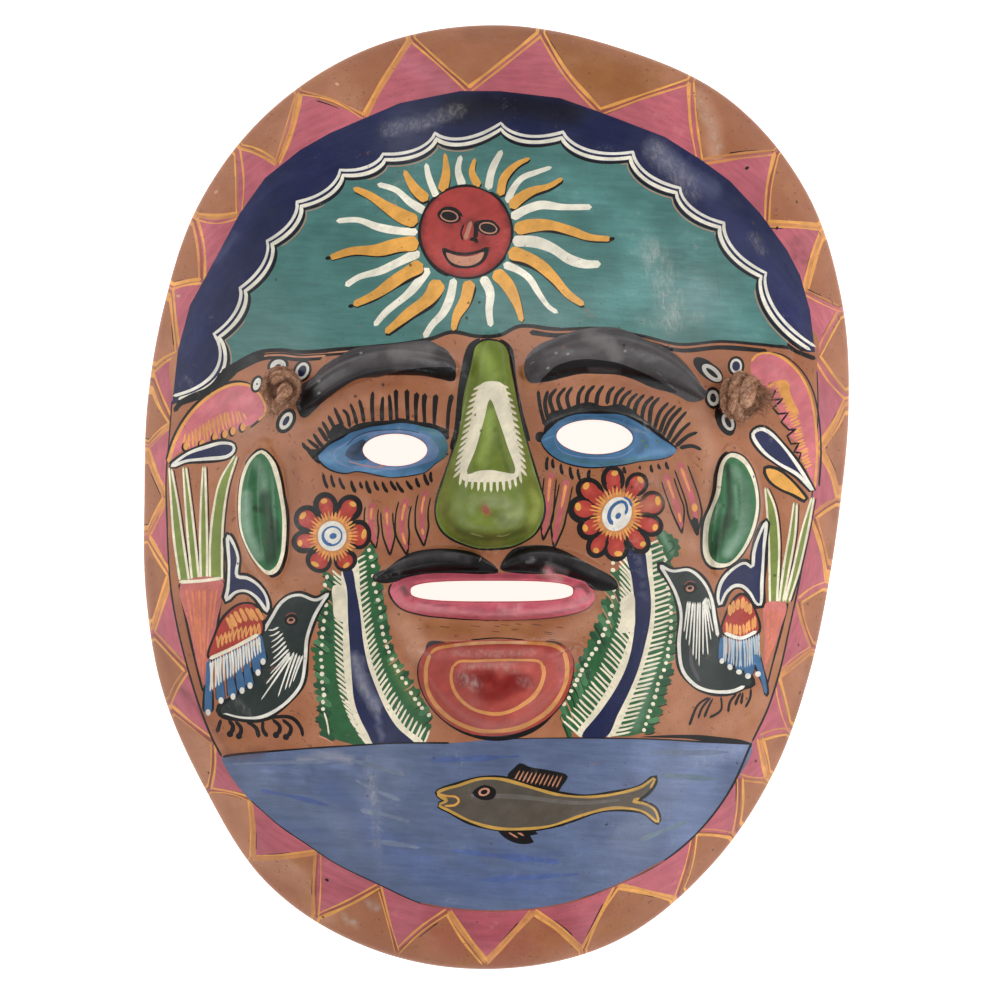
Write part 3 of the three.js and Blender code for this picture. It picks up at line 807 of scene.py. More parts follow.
def paint_sun(paint):
    """A red sun with a plain smiling face, and white and yellow rays with one wave in them."""
    (x, y), radius = SUN["centre"], SUN["radius"]
    for index, (wide, line) in enumerate(RAYS):
        line = np.array(line)
        if index % 2:
            shift = paint.random.uniform(1.2, 2.6)
            paint.stroke("black", line + (0.23, -dab(shift)), dab(wide), (0.9, 0.3), swell=0.08)
            paint.stroke("yellow", line, dab(wide), (0.9, 0.32), swell=0.08)
        else:
            paint.stroke("ray_white", line, dab(wide + 0.8), (1, 0.6), swell=0.12)
    paint.soft("teal_deep", px(505,300, 560,285, 600,250, 595,222), 70, 0.45, "teal")
    for tip in ((37.3, 83.4), (-47, 61.7), (-54.4, 77.2)):
        paint.blob("black", tip, (0.97, 0.65), 10)
    paint.blob("black", (x, y), radius * 1.035)
    for start, end, wide in ((75, 118, 4.6), (130, 250, 5.4), (255, 330, 3.6), (345, 420, 4.4)):
        paint.stroke("black", arc((x, y), radius * 1.03, start, end, 9), dab(wide), (0.6, 0.7), wander=0.4)
    paint.blob("sun_red", (x, y), radius)
    paint.softs_over("sun_red", (
        ("black", arc((x, y), radius, 130, 400, 30), 5, 0.6),
        ("black", px(449,208, 441,216, 452,226), 9, 0.4),
        ("black", px(460,222, 474,222, 484,236, 474,246), 9, 0.45),
        ("chin_deep", px(446,250, 466,252, 488,248), 9, 0.6),
    ))
    for eye, turn in (((-15.3, 90.8), 12), ((-2.7, 86.9), 12)):
        paint.blob("black", (eye[0], eye[1]), (3.88, 2.39), -turn)
        paint.blob("dusty_pink", eye, (3.04, 1.87), -turn)
        paint.blob("black", eye, (2.58, 1.45), -turn)
    paint.stroke("black", px(438,217, 443,209, 455,209, 463,217), 1.16, (0.6, 0.7), wander=0.3)
    paint.stroke("black", px(474,223, 482,221, 493,222, 499,229), 1.16, (0.7, 0.6), wander=0.3)
    paint.stroke("black", px(464,224, 461,233, 463,241), 0.97, (0.7, 0.8))
    paint.stroke("black", px(475,222, 476,232, 475,239), 1.74, (0.8, 1))
    paint.stroke("black", px(469,240, 474,239, 478,243), 1.81, (0.6, 0.8))
    paint.stroke("dusty_pink", px(471,221, 468,231, 465,240), 1.49, (0.8, 1), wander=0.25)
    paint.stroke("black", px(443,248, 451,252, 466,254, 480,251, 488,247), 1.16, (0.7, 0.8), swell=0.2)
    paint.fill("black", px(442,248, 452,254, 466,256, 480,253, 489,247, 486,259, 478,266, 465,268.5,
        452,266, 445,258))
    paint.fill("dusty_pink", px(446,252.5, 456,255.5, 467,256.5, 477,254.5, 484,251.5, 481,260, 471,265.5,
        460,265.5, 450,261))


def paint_brows(paint):
    """Two thick brows of dark paint: charcoal that stands for painted sheen on black, black below as
    painted shade, and painted highlights where they stand out most.
    """
    # Each brow is charcoal, a grey that stands for painted sheen on black paint, with a black lower part as
    # painted shade.
    paint.fill("charcoal", px(300,386, 312,378, 322,367, 332,360, 343,354, 352,349, 365,346, 380,345,
        400,343, 415,341, 430,341, 440,346, 447,350, 452,357, 456,364, 456,372, 454,381, 440,379, 425,376,
        408,375, 392,374, 378,377, 358,379, 342,388, 332,395, 322,403, 314,411, 307,417, 302,418, 298,412,
        296,404))
    paint.fill("black", px(385,375, 400,371, 420,368, 440,367, 453,368, 456,372, 454,381, 440,379, 425,376,
        405,375))
    paint.fill("charcoal", px(526,358, 530,352, 540,344, 552,339, 565,334, 578,330, 600,327, 618,328,
        630,332, 645,339, 660,345, 672,352, 684,362, 694,374, 702,386, 707,392, 704,399, 690,402, 678,396,
        665,391, 650,387, 635,380, 618,375, 600,374, 580,374, 565,377, 552,381, 538,383, 530,383, 525,376,
        524,366))
    paint.fill("black", px(540,382, 548,373, 556,366, 570,361, 585,359, 600,360, 618,363, 632,368, 650,376,
        668,386, 678,393, 664,391, 650,387, 635,380, 618,375, 600,374, 580,374, 562,378))
    # Painted shade in black along the brows' lower edges, and painted highlights in paler greys on their
    # tops.
    paint.soft("black", px(300,412, 306,402, 312,396), 34, 1.0, ("charcoal", "brow_highlight"))
    paint.softs_over("charcoal", (
        ("black", px(318,402, 345,383, 365,374, 390,371), 14, 0.7),
        ("black", px(528,374, 536,368), 14, 0.5),
        ("black", px(330,366, 345,358, 362,353), 8, 0.35),
        ("brow_highlight", px(395,354, 412,352, 428,351), 22, 0.85),
        ("brow_highlight", px(352,362, 375,356), 9, 0.3),
        ("brow_highlight", px(588,336, 608,343, 616,356), 20, 0.75),
        ("grey", px(545,352, 560,350, 572,352), 9, 0.3),
    ))
    paint.soft("charcoal", px(590,369, 620,371), 6, 0.8, "black")
    for x, y in ((625, 351), (361, 353), (319, 381), (319, 393), (556, 353), (568, 354), (548, 368)):
        paint.blob("grey", on_photo(x, y), (0.61, 0.45), 30)
    paint.comb("grey", px(656,372, 662,378, 666,383, 529,365), px(662,376, 668,382, 674,388, 535,361),
               0.39, (0.5, 0.6))


# The lashes: tip, middle and root
LASHES_LEFT = px(302,442, 305,447, 311,451, 307,439, 313,444, 320,449, 313,433, 318,441, 324,448, 318,427,
    323,434, 328,442, 322,421, 327,430, 331,440, 328,415, 332,423, 337,432, 334,407, 338,416, 343,427,
    342,409, 347,414, 350,428, 350,403, 354,413, 357,425, 359,399, 362,410, 364,423, 373,391, 372,402,
    373,423, 383,396, 382,408, 382,422, 389,394, 390,403, 391,422, 396,389, 396,400, 397,421, 407,389,
    407,400, 408,422, 417,392, 416,403, 416,425, 425,393, 424,404, 425,429, 436,394, 435,405, 434,429,
    452,394, 449,408, 447,437)
LASHES_RIGHT = px(538,390, 540,406, 545,426, 548,390, 545,403, 548,420, 557,388, 550,398, 554,414, 566,387,
    558,398, 562,413, 573,386, 567,396, 570,411, 585,385, 579,394, 578,407, 595,385, 588,393, 586,405,
    604,385, 598,394, 596,407, 615,386, 609,393, 607,405, 625,387, 617,395, 614,407, 632,390, 623,398,
    618,411, 638,393, 630,401, 626,415, 645,394, 637,403, 633,420, 654,396, 645,405, 641,423, 660,397,
    652,406, 649,427, 669,402, 660,412, 654,430, 676,405, 666,416, 659,434, 682,407, 671,419, 662,438,
    687,411, 676,424, 667,441, 691,422, 682,430, 671,444, 698,432, 688,436, 675,447, 702,450, 692,446,
    679,448)
LOW_LASHES = px(323,473, 328,489, 331,474, 335,488, 339,477, 345,490, 351,480, 356,493, 360,481, 363,489,
    366,480, 371,494, 374,480, 379,491, 382,481, 388,493, 390,480, 397,491, 396,481, 404,493, 406,480,
    413,490, 416,477, 420,488, 424,473, 429,486, 431,471, 432,483, 548,456, 547,471, 553,458, 554,469,
    561,463, 563,475, 570,466, 573,480, 578,468, 580,479, 590,469, 589,480, 608,467, 609,474, 624,466,
    626,474, 640,465, 641,470, 651,464, 653,473, 658,463, 661,470, 666,461, 669,470)


def paint_eyes(paint):
    """Blue lids round the openings, with rows of black lashes."""
    left = px(318,456, 322,452, 328,446, 335,442, 343,438, 350,433, 360,430, 370,427, 385,425, 400,423,
        412,424, 425,427, 437,430, 444,436, 448,444, 448,450, 446,456, 436,463, 425,472, 418,474, 405,476,
        390,477, 378,475, 365,472, 355,471, 347,473, 338,472, 330,469, 323,464)
    right = px(541,440, 546,433, 553,426, 561,420, 570,416, 580,414, 600,414, 615,414, 625,416, 635,421,
        645,427, 655,434, 662,439, 670,444, 677,450, 674,454, 664,458, 650,460, 640,461, 625,464, 610,466,
        590,467, 575,465, 562,461, 552,455, 546,449)
    paint.stroke("black", left[16:] + left[:1], 1.74, (0.3, 0.6))
    paint.stroke("black", right[15:] + right[:1], 1.42, (0.5, 0.8))
    paint.fill("black", px(306,449, 312,449, 318,449, 325,444, 330,438, 330,430, 337,424, 343,424, 347,429,
        357,424, 375,421, 393,420, 400,418, 410,420, 420,422, 430,423, 439,426, 447,430, 449,439, 440,440,
        420,436, 380,434, 340,448, 320,464))
    paint.fill("black", px(538,441, 544,430, 545,421, 551,412, 565,409, 578,404, 590,402, 603,406, 620,404,
        630,408, 640,416, 650,424, 660,432, 668,440, 678,449, 660,446, 600,424, 560,430))
    paint.blob("black", (14.1, 19.4), (1.62, 1.78))
    for lashes, club in ((LASHES_LEFT, 13), (LASHES_RIGHT, 30)):
        for index in range(0, len(lashes), 3):
            if index // 3 >= club:
                paint.stroke("black", lashes[index:index + 3], 1.16, (1.6, 0.9), swell=-0.1)
            else:
                paint.stroke("black", lashes[index:index + 3], 1.29, (0.75, 1), swell=0.15)
    for top, low in zip(LOW_LASHES[::2], LOW_LASHES[1::2]):
        middle = (np.array(top) + low) / 2 - (0.32, 0)
        paint.stroke("black", [top, middle, low], 1.03, (0.8, 1.2), swell=0.1)
    paint.stroke("black", px(578,473, 580,480, 588,484, 600,483), 0.97, (0.8, 0.8))
    for outline in (left, right):
        paint.fill("lid_blue", outline)
    paint.soft("charcoal", px(354,416, 366,416, 376,415, 400,413, 416,412), 9, 0.5, "black")
    # Painted highlights along the lower lids, and teal tints at their edges.
    paint.softs_over("lid_blue", (
        ("lid_highlight", px(325,462, 345,470, 365,470, 395,474, 420,470), 9, 0.8),
        ("lid_highlight", px(322,458, 330,456, 338,462), 12, 0.5),
        ("teal", px(420,426, 436,433, 446,445, 442,456), 9, 0.75),
        ("teal", px(560,456, 590,463, 620,462, 650,457), 8, 0.6),
        ("lid_highlight", px(640,457, 660,453, 674,450), 9, 0.7),
    ))
    # The ring of the lid's edge round each opening
    paint.fill("periwinkle", px(334,452, 334,458, 340,465, 352,468, 375,469, 395,470, 412,467, 426,463,
        436,458, 439,451, 436,443, 428,436, 415,432, 400,430, 380,430, 366,433, 354,438, 344,444))
    paint.fill("lid_blue", px(335,452, 336,459, 344,464, 356,466, 368,462, 368,436, 355,440, 345,445))
    # Painted shade on the left wall of the left opening and along its top edge.
    paint.stroke("lid_shade", px(346,446, 356,437, 368,432, 385,430, 405,430, 420,433), 0.65, (0.6, 0.4))
    paint.fill("lid_shade", px(345,455, 349,447, 357,442, 364,439, 368,446, 368,458, 358,461, 350,459))
    paint.soft("black", px(352,454, 358,449, 362,443), 9, 0.75, ("lid_shade", "periwinkle", "lid_blue"))
    paint.stroke("dusty_pink", px(348,461, 358,464, 374,467, 384,467), 0.71, (0.4, 0.5))
    paint.soft("teal", px(434,440, 442,447, 440,456), 7, 0.6, ("periwinkle", "lid_blue"))
    # Painted shade on the right lid.
    paint.softs_over("lid_blue", (
        ("lid_shade", px(628,424, 640,433, 646,444, 640,452), 10, 0.55),
        ("lid_shade", px(575,419, 600,416, 622,420), 5, 0.5),
    ))
    paint.stroke("periwinkle", px(554,440, 560,450, 575,456, 600,458, 622,456, 634,448), 0.97, (0.4, 0.4))
    # A painted highlight at the inner corner of the right lid.
    paint.stroke("lid_highlight", px(542,441, 548,438, 554,436), 0.97, (0.5, 0.4))
    paint.dots("leaf_mid", px(643,441, 646,446, 657,441), 0.52)
    # Drops that fall from the lids, pink with an orange light and black edges
    drops = (
        (px(373,502, 371,514, 372,530, 376,543), 9, 0.0), (px(387,506, 387,520, 389,536, 390,550), 7.5,
            0.0),
        (px(407,498, 403,512, 402,530, 407,550), 9, 0.62), (px(426,490, 422,508, 422,526, 424,541), 8.5,
            0.7),
        (px(551,472, 549,490, 547,515, 543,535), 8, 0.0), (px(567,479, 563,500, 558,522, 554,543), 9, 0.0),
        (px(666,474, 671,490, 678,510, 682,528), 8.5, 0.7), (px(679,462, 686,481, 693,502, 697,530), 9.5,
            0.0),
    )
    for line, wide, low_light in drops:
        whole = smooth_line(line)
        for side in (-1, 1):
            edge = side_by_side(whole, side * dab(wide / 2 + 2.2))
            tip = whole[-1:] + (0, -1.94)
            paint.stroke("black", np.concatenate([edge[2:int(len(edge) * 0.8):3], tip]), 0.74, (0.6, 1))
        paint.stroke("tear_pink", line, dab(wide), (0.7, 0.45), swell=0.12)
        last = int(len(whole) * 0.5)
        paint.stroke("pale_orange", whole[2:last], dab(wide * 0.42), (0.9, 0.5))
        if low_light:
            first = int(len(whole) * low_light)
            paint.stroke("pale_orange", whole[first:-2], dab(wide * 0.4), (0.6, 0.8))
    paint.stroke("pale_orange", px(694,503, 695,512), 2.26, (0.8, 0.9))
    paint.stroke("black", px(694,517, 696,526, 698,536), 2.42, (1, 0.4))


def paint_nose(paint):
    """A green nose with a cream fringe round a lighter green triangle."""
    outline = px(484,341, 476,346, 473,356, 470,370, 466,385, 463,400, 461,420, 457,440, 452,455, 447,470,
        442,485, 438,497, 436,510, 437,520, 442,530, 450,537, 462,543, 478,548, 497,548, 512,546, 524,541,
        534,534, 541,522, 544,510, 543,498, 540,488, 535,472, 530,455, 525,437, 520,415, 516,395, 513,380,
        510,365, 508,352, 503,344, 495,341)
    paint.loop("black", outline, 1.29)
    paint.fill("black", px(480,338, 470,343, 465,352, 461,370, 458,388, 456,410, 454,430, 450,448, 454,452,
        461,425, 464,400, 468,378, 473,358, 479,344))
    paint.fill("black", px(500,339, 508,343, 513,350, 515,364, 517,382, 523,412, 530,442, 526,440, 519,413,
        512,380, 508,358, 503,346))
    paint.fill("nose_green", outline)
    # Painted highlights on the bridge and the side of the bulb, painted sheen on the top of the bulb and
    # painted shade under it, with paler green along the sides.
    paint.softs_over("nose_green", (
        ("nose_highlight", px(480,352, 487,362, 490,374), 24, 0.7),
        ("leaf_light", px(472,380, 465,410, 460,440, 452,470), 9, 0.7),
        ("leaf_light", px(512,378, 520,410, 528,445, 536,480), 8, 0.6),
        ("nose_highlight", px(534,494, 538,506, 534,520), 14, 0.8),
        ("nose_sheen", px(474,500, 490,499, 508,504, 516,512, 500,520), 20, 0.7),
        ("nose_shade", px(448,505, 446,516, 456,527), 12, 0.6),
        ("nose_shade", px(458,531, 480,537, 500,537, 524,530), 12, 0.85),
        ("nose_shade", px(494,514, 510,522, 524,520), 12, 0.4),
        ("leaf_light", px(466,545, 488,548, 512,545), 5, 0.7),
    ))
    band = px(481,384, 475,400, 470,425, 464,450, 460,468, 463,480, 478,482, 495,482, 512,480, 520,474,
        521,465, 519,450, 514,425, 509,400, 503,384, 492,381)
    paint.fill("cream", band)
    for edge, count, first, last in ((px(481,386, 475,402, 469,428, 463,452, 459,472), 15, (-8, 4),
        (-6, 6)),
                                     (px(503,386, 510,405, 515,428, 520,452, 522,470), 14, (6, -2),
                                         (5, -6))):
        roots = along(edge, count)
        for root, share in zip(roots, np.linspace(0, 1, count)):
            reach = (np.array(first) * (1 - share) + np.array(last) * share) * (1,
                -1 if first[0] < 0 else 1)
            reach = reach * PIXEL
            paint.stroke("cream", [root - reach * 0.6, root + reach], 1.1, (1, 0.6))
    roots = along(px(462,476, 475,481, 492,483, 508,481, 519,474), 11)
    for root, lean in zip(roots, np.linspace(-0.9, 0.9, 11)):
        paint.stroke("cream", [root + (0, 1.29), root + (lean * 0.9, -3.07)], 1.13, (1, 0.6))
    paint.fill("nose_green", px(490,399, 484,420, 476,448, 467,474, 478,471, 491,470, 503,472, 515,473,
        507,445, 498,418))
    # A painted highlight down the middle of the triangle, and painted shade beside it.
    paint.softs_over("nose_green", (
        ("nose_highlight", px(490,412, 487,435, 482,462), 16, 0.8),
        ("nose_shade", px(496,430, 503,455, 508,470), 7, 0.5),
    ))
    # A painted reddish reflection on the tip of the nose.
    paint.blob("rust", (-3.4, -4.2), (1.03, 1.49), 15)
    paint.soft("rust", px(484,508, 488,513), 14, 0.5, ("nose_green",))
    for line in (px(470,533, 477,535, 484,537), px(496,536, 504,536, 511,533)):
        paint.stroke("leaf_light", line, 0.65, (0.8, 0.6))


def paint_mouth(paint):
    """Pink lips round the slot, under a black moustache."""
    lips = px(390,592, 393,583, 402,577, 425,574, 460,573, 500,573, 545,573, 572,577, 588,584, 595,596,
        590,606, 575,613, 545,618, 500,620, 455,618, 420,614, 400,607)
    paint.stroke("black", lips[13:] + lips[:2], 1.49, (0.4, 0.9))
    paint.stroke("charcoal", lips[9:14], 1.29, (0.5, 0.5))
    paint.fill("lips_pink", lips)
    # Painted highlights along the lower lip, and a painted glint in the worn colour, which here stands for
    # light on the varnish.
    paint.softs_over("lips_pink", (
        ("lips_highlight", px(420,606, 445,611, 470,612, 500,615, 530,613, 575,607), 11, 0.85),
        ("worn", px(500,611, 512,613, 520,607), 12, 0.5),
    ))
    # A painted glint on the right of the upper lip.
    paint.soft("worn", px(545,571, 553,576, 560,580), 12, 0.7, ("lips_pink", "black"))
    # Painted highlights at the lips' left end and a pale glint on the upper lip's right, painted shade at
    # the edges of the slot and under the lower lip, and rose on the upper lip.
    paint.softs_over("lips_pink", (
        ("lips_highlight", px(398,596, 406,604, 418,608), 9, 0.5),
        ("rose", px(400,583, 420,579, 460,577, 530,577, 570,582), 6, 0.55),
        ("lips_shade", px(400,590, 412,585, 414,597), 9, 0.5),
        ("lips_shade", px(455,616, 500,617, 550,614, 585,607), 5, 0.5),
        ("lips_shade", px(412,600, 440,605, 500,606, 550,605, 572,599), 4, 0.6),
        ("grey", px(572,603, 584,600, 592,594), 8, 0.4),
        ("dusty_pink", px(540,575, 552,577, 562,578), 6, 0.8),
    ))
    left = px(380,583, 372,579, 374,574, 386,569, 395,562, 410,553, 430,549, 455,549, 475,553, 487,560,
        496,567, 499,572, 485,574, 450,573, 425,574, 405,578, 395,582)
    right = px(500,569, 506,556, 515,548, 535,545, 550,546, 565,551, 580,559, 595,567, 608,574, 616,580,
        618,588, 605,591, 592,589, 585,582, 572,578, 560,574, 540,574, 515,573)
    for half in (left, right):
        paint.fill("black", half)
    # Painted sheen on the tops of the moustache.
    paint.softs_over("black", (
        ("charcoal", px(396,568, 415,558, 440,555, 468,560), 11, 0.75),
        ("charcoal", px(522,558, 545,554, 568,561, 596,574), 9, 0.45),
    ))
    # A painted glint on the lip beside the moustache, and painted sheen on the moustache.
    paint.soft("lips_highlight", px(548,570, 552,577, 558,581), 12, 0.7, ("lips_pink", "black"))
    paint.soft("grey", px(548,564, 558,569, 566,572), 9, 0.45, "black")
    # Painted glints on the lower lip, and darker marks at both corners of the mouth.
    paint.softs_over("lips_pink", (
        ("rose", px(392,588, 400,582, 420,578), 6, 0.6),
        ("rose", px(460,608, 490,611, 515,610), 8, 0.6),
        ("lips_glint", px(500,606, 512,612, 520,606), 9, 0.7),
        ("lips_glint", px(395,600, 410,608, 440,612), 8, 0.6),
        ("dark_stain", px(574,588, 582,586, 588,592), 8, 0.8),
        ("dark_stain", px(403,588, 407,594), 9, 0.8),
    ))
    # Painted sheen in grey on the moustache.
    paint.stroke("grey", px(482,556, 479,562), 0.52, (0.6, 0.5))
    paint.softs_over("black", (
        ("grey", px(440,558, 458,557), 6, 0.6),
        ("grey", px(528,562, 534,560), 5, 0.8),
    ))


def paint_chin(paint):
    """A red half round on the chin, with two orange arcs."""
    outline = px(429,647, 445,643, 480,640, 520,640, 550,643, 567,648, 573,660, 572,678, 564,700, 548,718,
        524,731, 497,736, 472,734, 448,723, 430,705, 420,684, 419,665)
    paint.stroke("black", outline[5:] + outline[:1], 1.29, (0.5, 0.7))
    paint.fill("black", px(430,706, 448,725, 472,737, 497,741, 525,736, 545,724, 560,706, 545,720, 520,732,
        497,737, 470,734, 450,724))
    paint.stroke("black", px(470,640, 497,638, 525,640), 0.84, (0.5, 0.5))
    paint.fill("charcoal", px(428,642, 440,641, 448,644, 440,650, 432,660, 424,664, 425,652))
    paint.stroke("charcoal", px(545,641, 558,643, 567,649), 0.97, (0.5, 0.8))
    paint.fill("chin_red", outline)
    # Painted shade in the middle of the chin, and painted highlights along its top.
    paint.softs_over("chin_red", (
        ("chin_shade", px(463,680, 478,676, 480,690, 492,697), 20, 0.9),
        ("chin_shade", px(490,676, 500,688, 514,678, 524,680), 22, 1.0),
        ("chin_shade", px(482,694, 500,696, 516,690), 16, 0.8),
        ("chin_highlight", px(462,668, 490,665, 530,669), 12, 0.6),
        ("rust", px(424,668, 424,690, 436,712, 456,728), 9, 0.5),
        ("chin_highlight", px(440,655, 480,651, 540,652), 14, 0.9),
        ("pink", px(548,655, 562,662, 560,690), 10, 0.35),
    ))
    for points, width, tips in (
        (px(430,654, 426,668, 427,688, 435,704, 448,717, 464,726, 482,731, 500,731, 518,728, 534,721,
         549,710, 559,697, 566,681, 567,664, 564,651), 4.6, (0.85, 1)),
        (px(430,654, 436,649, 450,646, 480,643, 530,643, 555,646, 565,652), 3.8, (0.8, 0.9)),
        (px(453,665, 451,678, 455,692, 463,702, 473,709, 486,713, 498,714, 511,711, 524,704, 534,696,
         541,685, 544,672, 542,664), 4.2, (0.7, 1)),
        (px(453,667, 458,662, 475,661, 520,660, 540,662, 543,668), 3, (0.8, 0.9)),
    ):
        paint.stroke("chin_orange", points, dab(width), tips)
    # Painted highlights: a pale haze over the top arc, and glints on the red in the worn colour, which here
    # stands for light on the varnish.
    paint.soft("cream", px(455,645, 490,643, 525,643), 5, 0.45, "chin_orange")
    for points, width, strength in (
        (px(455,651, 490,654, 532,652), 12, 0.7), (px(462,678, 474,684), 18, 0.9),
        (px(520,680, 530,684), 12, 0.7), (px(462,667, 490,666, 515,670), 12, 0.5)):
        paint.soft("worn", points, width, strength, "chin_red")


def paint_ears(paint):
    """Green kidney shapes with a cream edge, black on the side away from the light."""
    left = px(262,450, 253,455, 245,466, 240,482, 238,508, 240,530, 247,549, 257,565, 268,575, 277,572,
        283,559, 286,540, 286,515, 283,495, 280,478, 274,461)
    right = px(731,453, 742,456, 751,467, 757,484, 759,505, 756,525, 748,545, 737,560, 726,567, 711,566,
        704,556, 703,535, 705,520, 711,506, 716,491, 718,473, 723,459)
    paint.stroke("black", left[2:0:-1] + left[:1] + left[:7:-1], 2.91, (0.4, 0.9))
    paint.stroke("black", right[8:] + right[:1], 3.23, (0.5, 0.8))
    paint.loop("black", right, 0.97)
    paint.stroke("black", left[2:9], 0.97, (0.5, 0.5))
    for outline in (left, right):
        paint.fill("cream", outline)
    paint.fill("ear_green", px(261,453, 252,460, 246,472, 242,488, 240.5,510, 242,530, 249,549, 259,564,
        268,571, 275,567, 280,556, 282,538, 282,515, 279,495, 275,478, 269,461))
    paint.fill("ear_green", px(731,457, 742,462, 750,474, 755,490, 756,508, 751,530, 740,552, 728,563,
        716,562, 710,555, 708,540, 710,522, 714,508, 720,493, 722,477, 725,463))
    # Painted highlights on each ear, and painted shade in its hollow.
    for colour, points, width, strength in (
        ("green_highlight", px(247,495, 247,525, 258,556), 15, 1.0),
        ("green_highlight", px(256,462, 262,478, 262,494), 14, 0.6),
        ("ear_shade", px(265,496, 268,515, 270,535, 270,556), 17, 1.0),
        ("ear_shade", px(274,522, 276,545, 270,562), 14, 0.9),
        ("ear_shade", px(255,508, 260,510, 266,508), 9, 0.8),
        ("green_highlight", px(746,508, 742,530, 728,553), 15, 1.0),
        ("green_highlight", px(735,470, 744,484, 746,500), 14, 0.6),
        ("ear_shade", px(727,466, 729,482, 730,505, 727,525), 10, 1.0),
        ("ear_shade", px(728,520, 720,536, 714,552), 18, 0.9),
        ("green_highlight", px(735,488, 737,502, 737,518), 5, 0.8),
        ("green_highlight", px(719,505, 713,522), 6, 0.7),
    ):
        paint.soft(colour, points, width, strength, "ear_green")


def paint_flowers(paint):
    """A flower on each cheek: petals, a ring of yellow strokes and an eye of white and blue. Each
    petal has its place, its half length and half width, and the thickness of its black edge."""
    flowers = (
        ((-53.1, -12.6), (14.3, 15), 0, (
            (326, 506, 8.5, 7, 5.5), (349, 508, 8.5, 7.5, 5.5), (359, 535, 8, 10.5, 4.5),
            (345, 561, 7, 8, 4), (319, 561, 7.5, 9, 4.5), (305, 541, 8.5, 7, 5), (307, 519, 8.5, 8.5,
                5.5))),
        ((38.9, -5.5), (14.2, 17.5), -25, (
            (590, 491, 10, 8, 5), (584, 509, 10, 8.5, 6), (591, 527, 9, 7.5, 5.5), (598, 545, 9, 6.5, 5),
            (616, 548, 9, 8.5, 4.5), (638, 541, 9, 6.5, 5), (650, 525, 9, 7, 4.5), (653, 504, 9, 9.5, 3.5),
            (637, 484, 8.5, 7.5, 4), (613, 479, 9, 7, 5))),
    )
    for heart, eye, turn, petals in flowers:
        heart = np.array(heart)
        spots = [np.array(on_photo(petal[0], petal[1])) for petal in petals]
        ways = [(spot - heart) / np.hypot(*(spot - heart)) for spot in spots]
        turns = [math.degrees(math.atan2(way[1], way[0])) for way in ways]
        for spot, way, lean, (_, _, long, wide, edge) in zip(spots, ways, turns, petals):
            reach = (dab(long + edge), dab(wide + edge))
            paint.blob("black", spot + paint.random.uniform(-0.2, 0.2, 2), reach, lean)
            paint.stroke("black", [heart, spot - way * 0.65], dab(wide * 1.6))
        for spot, way, lean, (_, _, long, wide, _) in zip(spots, ways, turns, petals):
            paint.blob("petal_red", spot, (dab(long), dab(wide)), lean)
            paint.stroke("petal_red", [heart + way * dab(eye[0]), spot], dab(wide * 1.95), (0.55, 1),
                wander=0.3)
            paint.soft("petal_light", [spot - way, spot + way * 1.2], wide * 1.1, 0.8, "petal_red")
            tip = spot + way * dab(long * 0.62) + np.array([-way[1], way[0]]) * paint.random.uniform(-0.8,
                0.8)
            paint.blob("yellow", tip, (dab(long * 0.3), dab(wide * 0.5)), lean + paint.random.uniform(-20,
                20))
        paint.blob("petal_orange", heart, (dab(eye[0] + 5), dab(eye[1] + 5)), turn)
        rays = 40
        for index in range(rays):
            angle = 2 * math.pi * index / rays
            way = np.array([math.cos(angle), math.sin(angle)])
            inner = heart + way * dab(eye[0] - 1)
            outer = heart + way * dab((eye[0] + eye[1]) / 2 + 10.5 + paint.random.uniform(-2, 2))
            shade = ("yellow", "pale_orange", "dull_orange")[index % 3]
            paint.stroke(shade, [inner, outer], dab(paint.random.uniform(1.7, 2.6)), (1, 0.7))
        wide, high = eye
        paint.blob("dull_orange", heart, (dab(wide + 2), dab(high + 2)), turn)
        paint.blob("white", heart, (dab(wide), dab(high)), turn)
    paint.soft("dusty_pink", px(645,505, 656,503), 22, 0.5, ("petal_red", "petal_light", "black"))
    paint.loop("ring_blue", oval((-53.1, -12.6), (3.17, 2.97), 30), 0.65)
    paint.stroke("ring_blue", px(325,529, 323,536, 327,543, 333,545), 1.29, (0.6, 0.7))
    paint.blob("ring_blue", (-52.8, -12.6), (1.23, 0.97), 15)
    paint.stroke("ring_blue", px(613,525, 609,518, 611,509, 617,503, 624,502, 627,508, 625,515),
                 1.62, (0.9, 0.5))
    paint.stroke("ring_blue", px(623,497, 629,500, 632,507), 1.45, (0.5, 0.8))
    paint.blob("ring_blue", (39.3, -6.1), (0.84, 1.16), -35)


def paint_leaves(paint, edge, reach, count, fill_to):
    """A fern's leaves: round-ended strokes side by side, each one to a point of the edge. reach
    is from its foot to its tip at the first leaf and at the last one."""
    tips = along(edge, count)
    shares = np.linspace(0, 1, count)[:, None]
    reaches = (np.array(reach[0]) * (1 - shares) + np.array(reach[1]) * shares) * (PIXEL, -PIXEL)
    paint.fill("leaf_green", list(map(tuple, tips - reaches * 0.2)) + fill_to[::-1])
    for tip, way in zip(tips, reaches):
        tip = tip + paint.random.uniform(-0.5, 0.5, 2)
        side = np.array([way[1], -way[0]]) * paint.random.uniform(0.02, 0.1)
        colour = paint.random.choice(["leaf_green", "leaf_mid", "leaf_dark"], p=[0.6, 0.22, 0.18])
        paint.stroke(colour, [tip - way, tip - way * 0.5 + side, tip], 2.26, (0.7, 0.85))
        if paint.random.random() < 0.8:
            line = [tip - way * 0.9, tip - way * 0.4 + side, tip + way * 0.05]
            shade = "leaf_line" if paint.random.random() < 0.7 else "clay_line"
            paint.stroke(shade, line - np.array([0, 1.23]), 0.52, (0.5, 1))


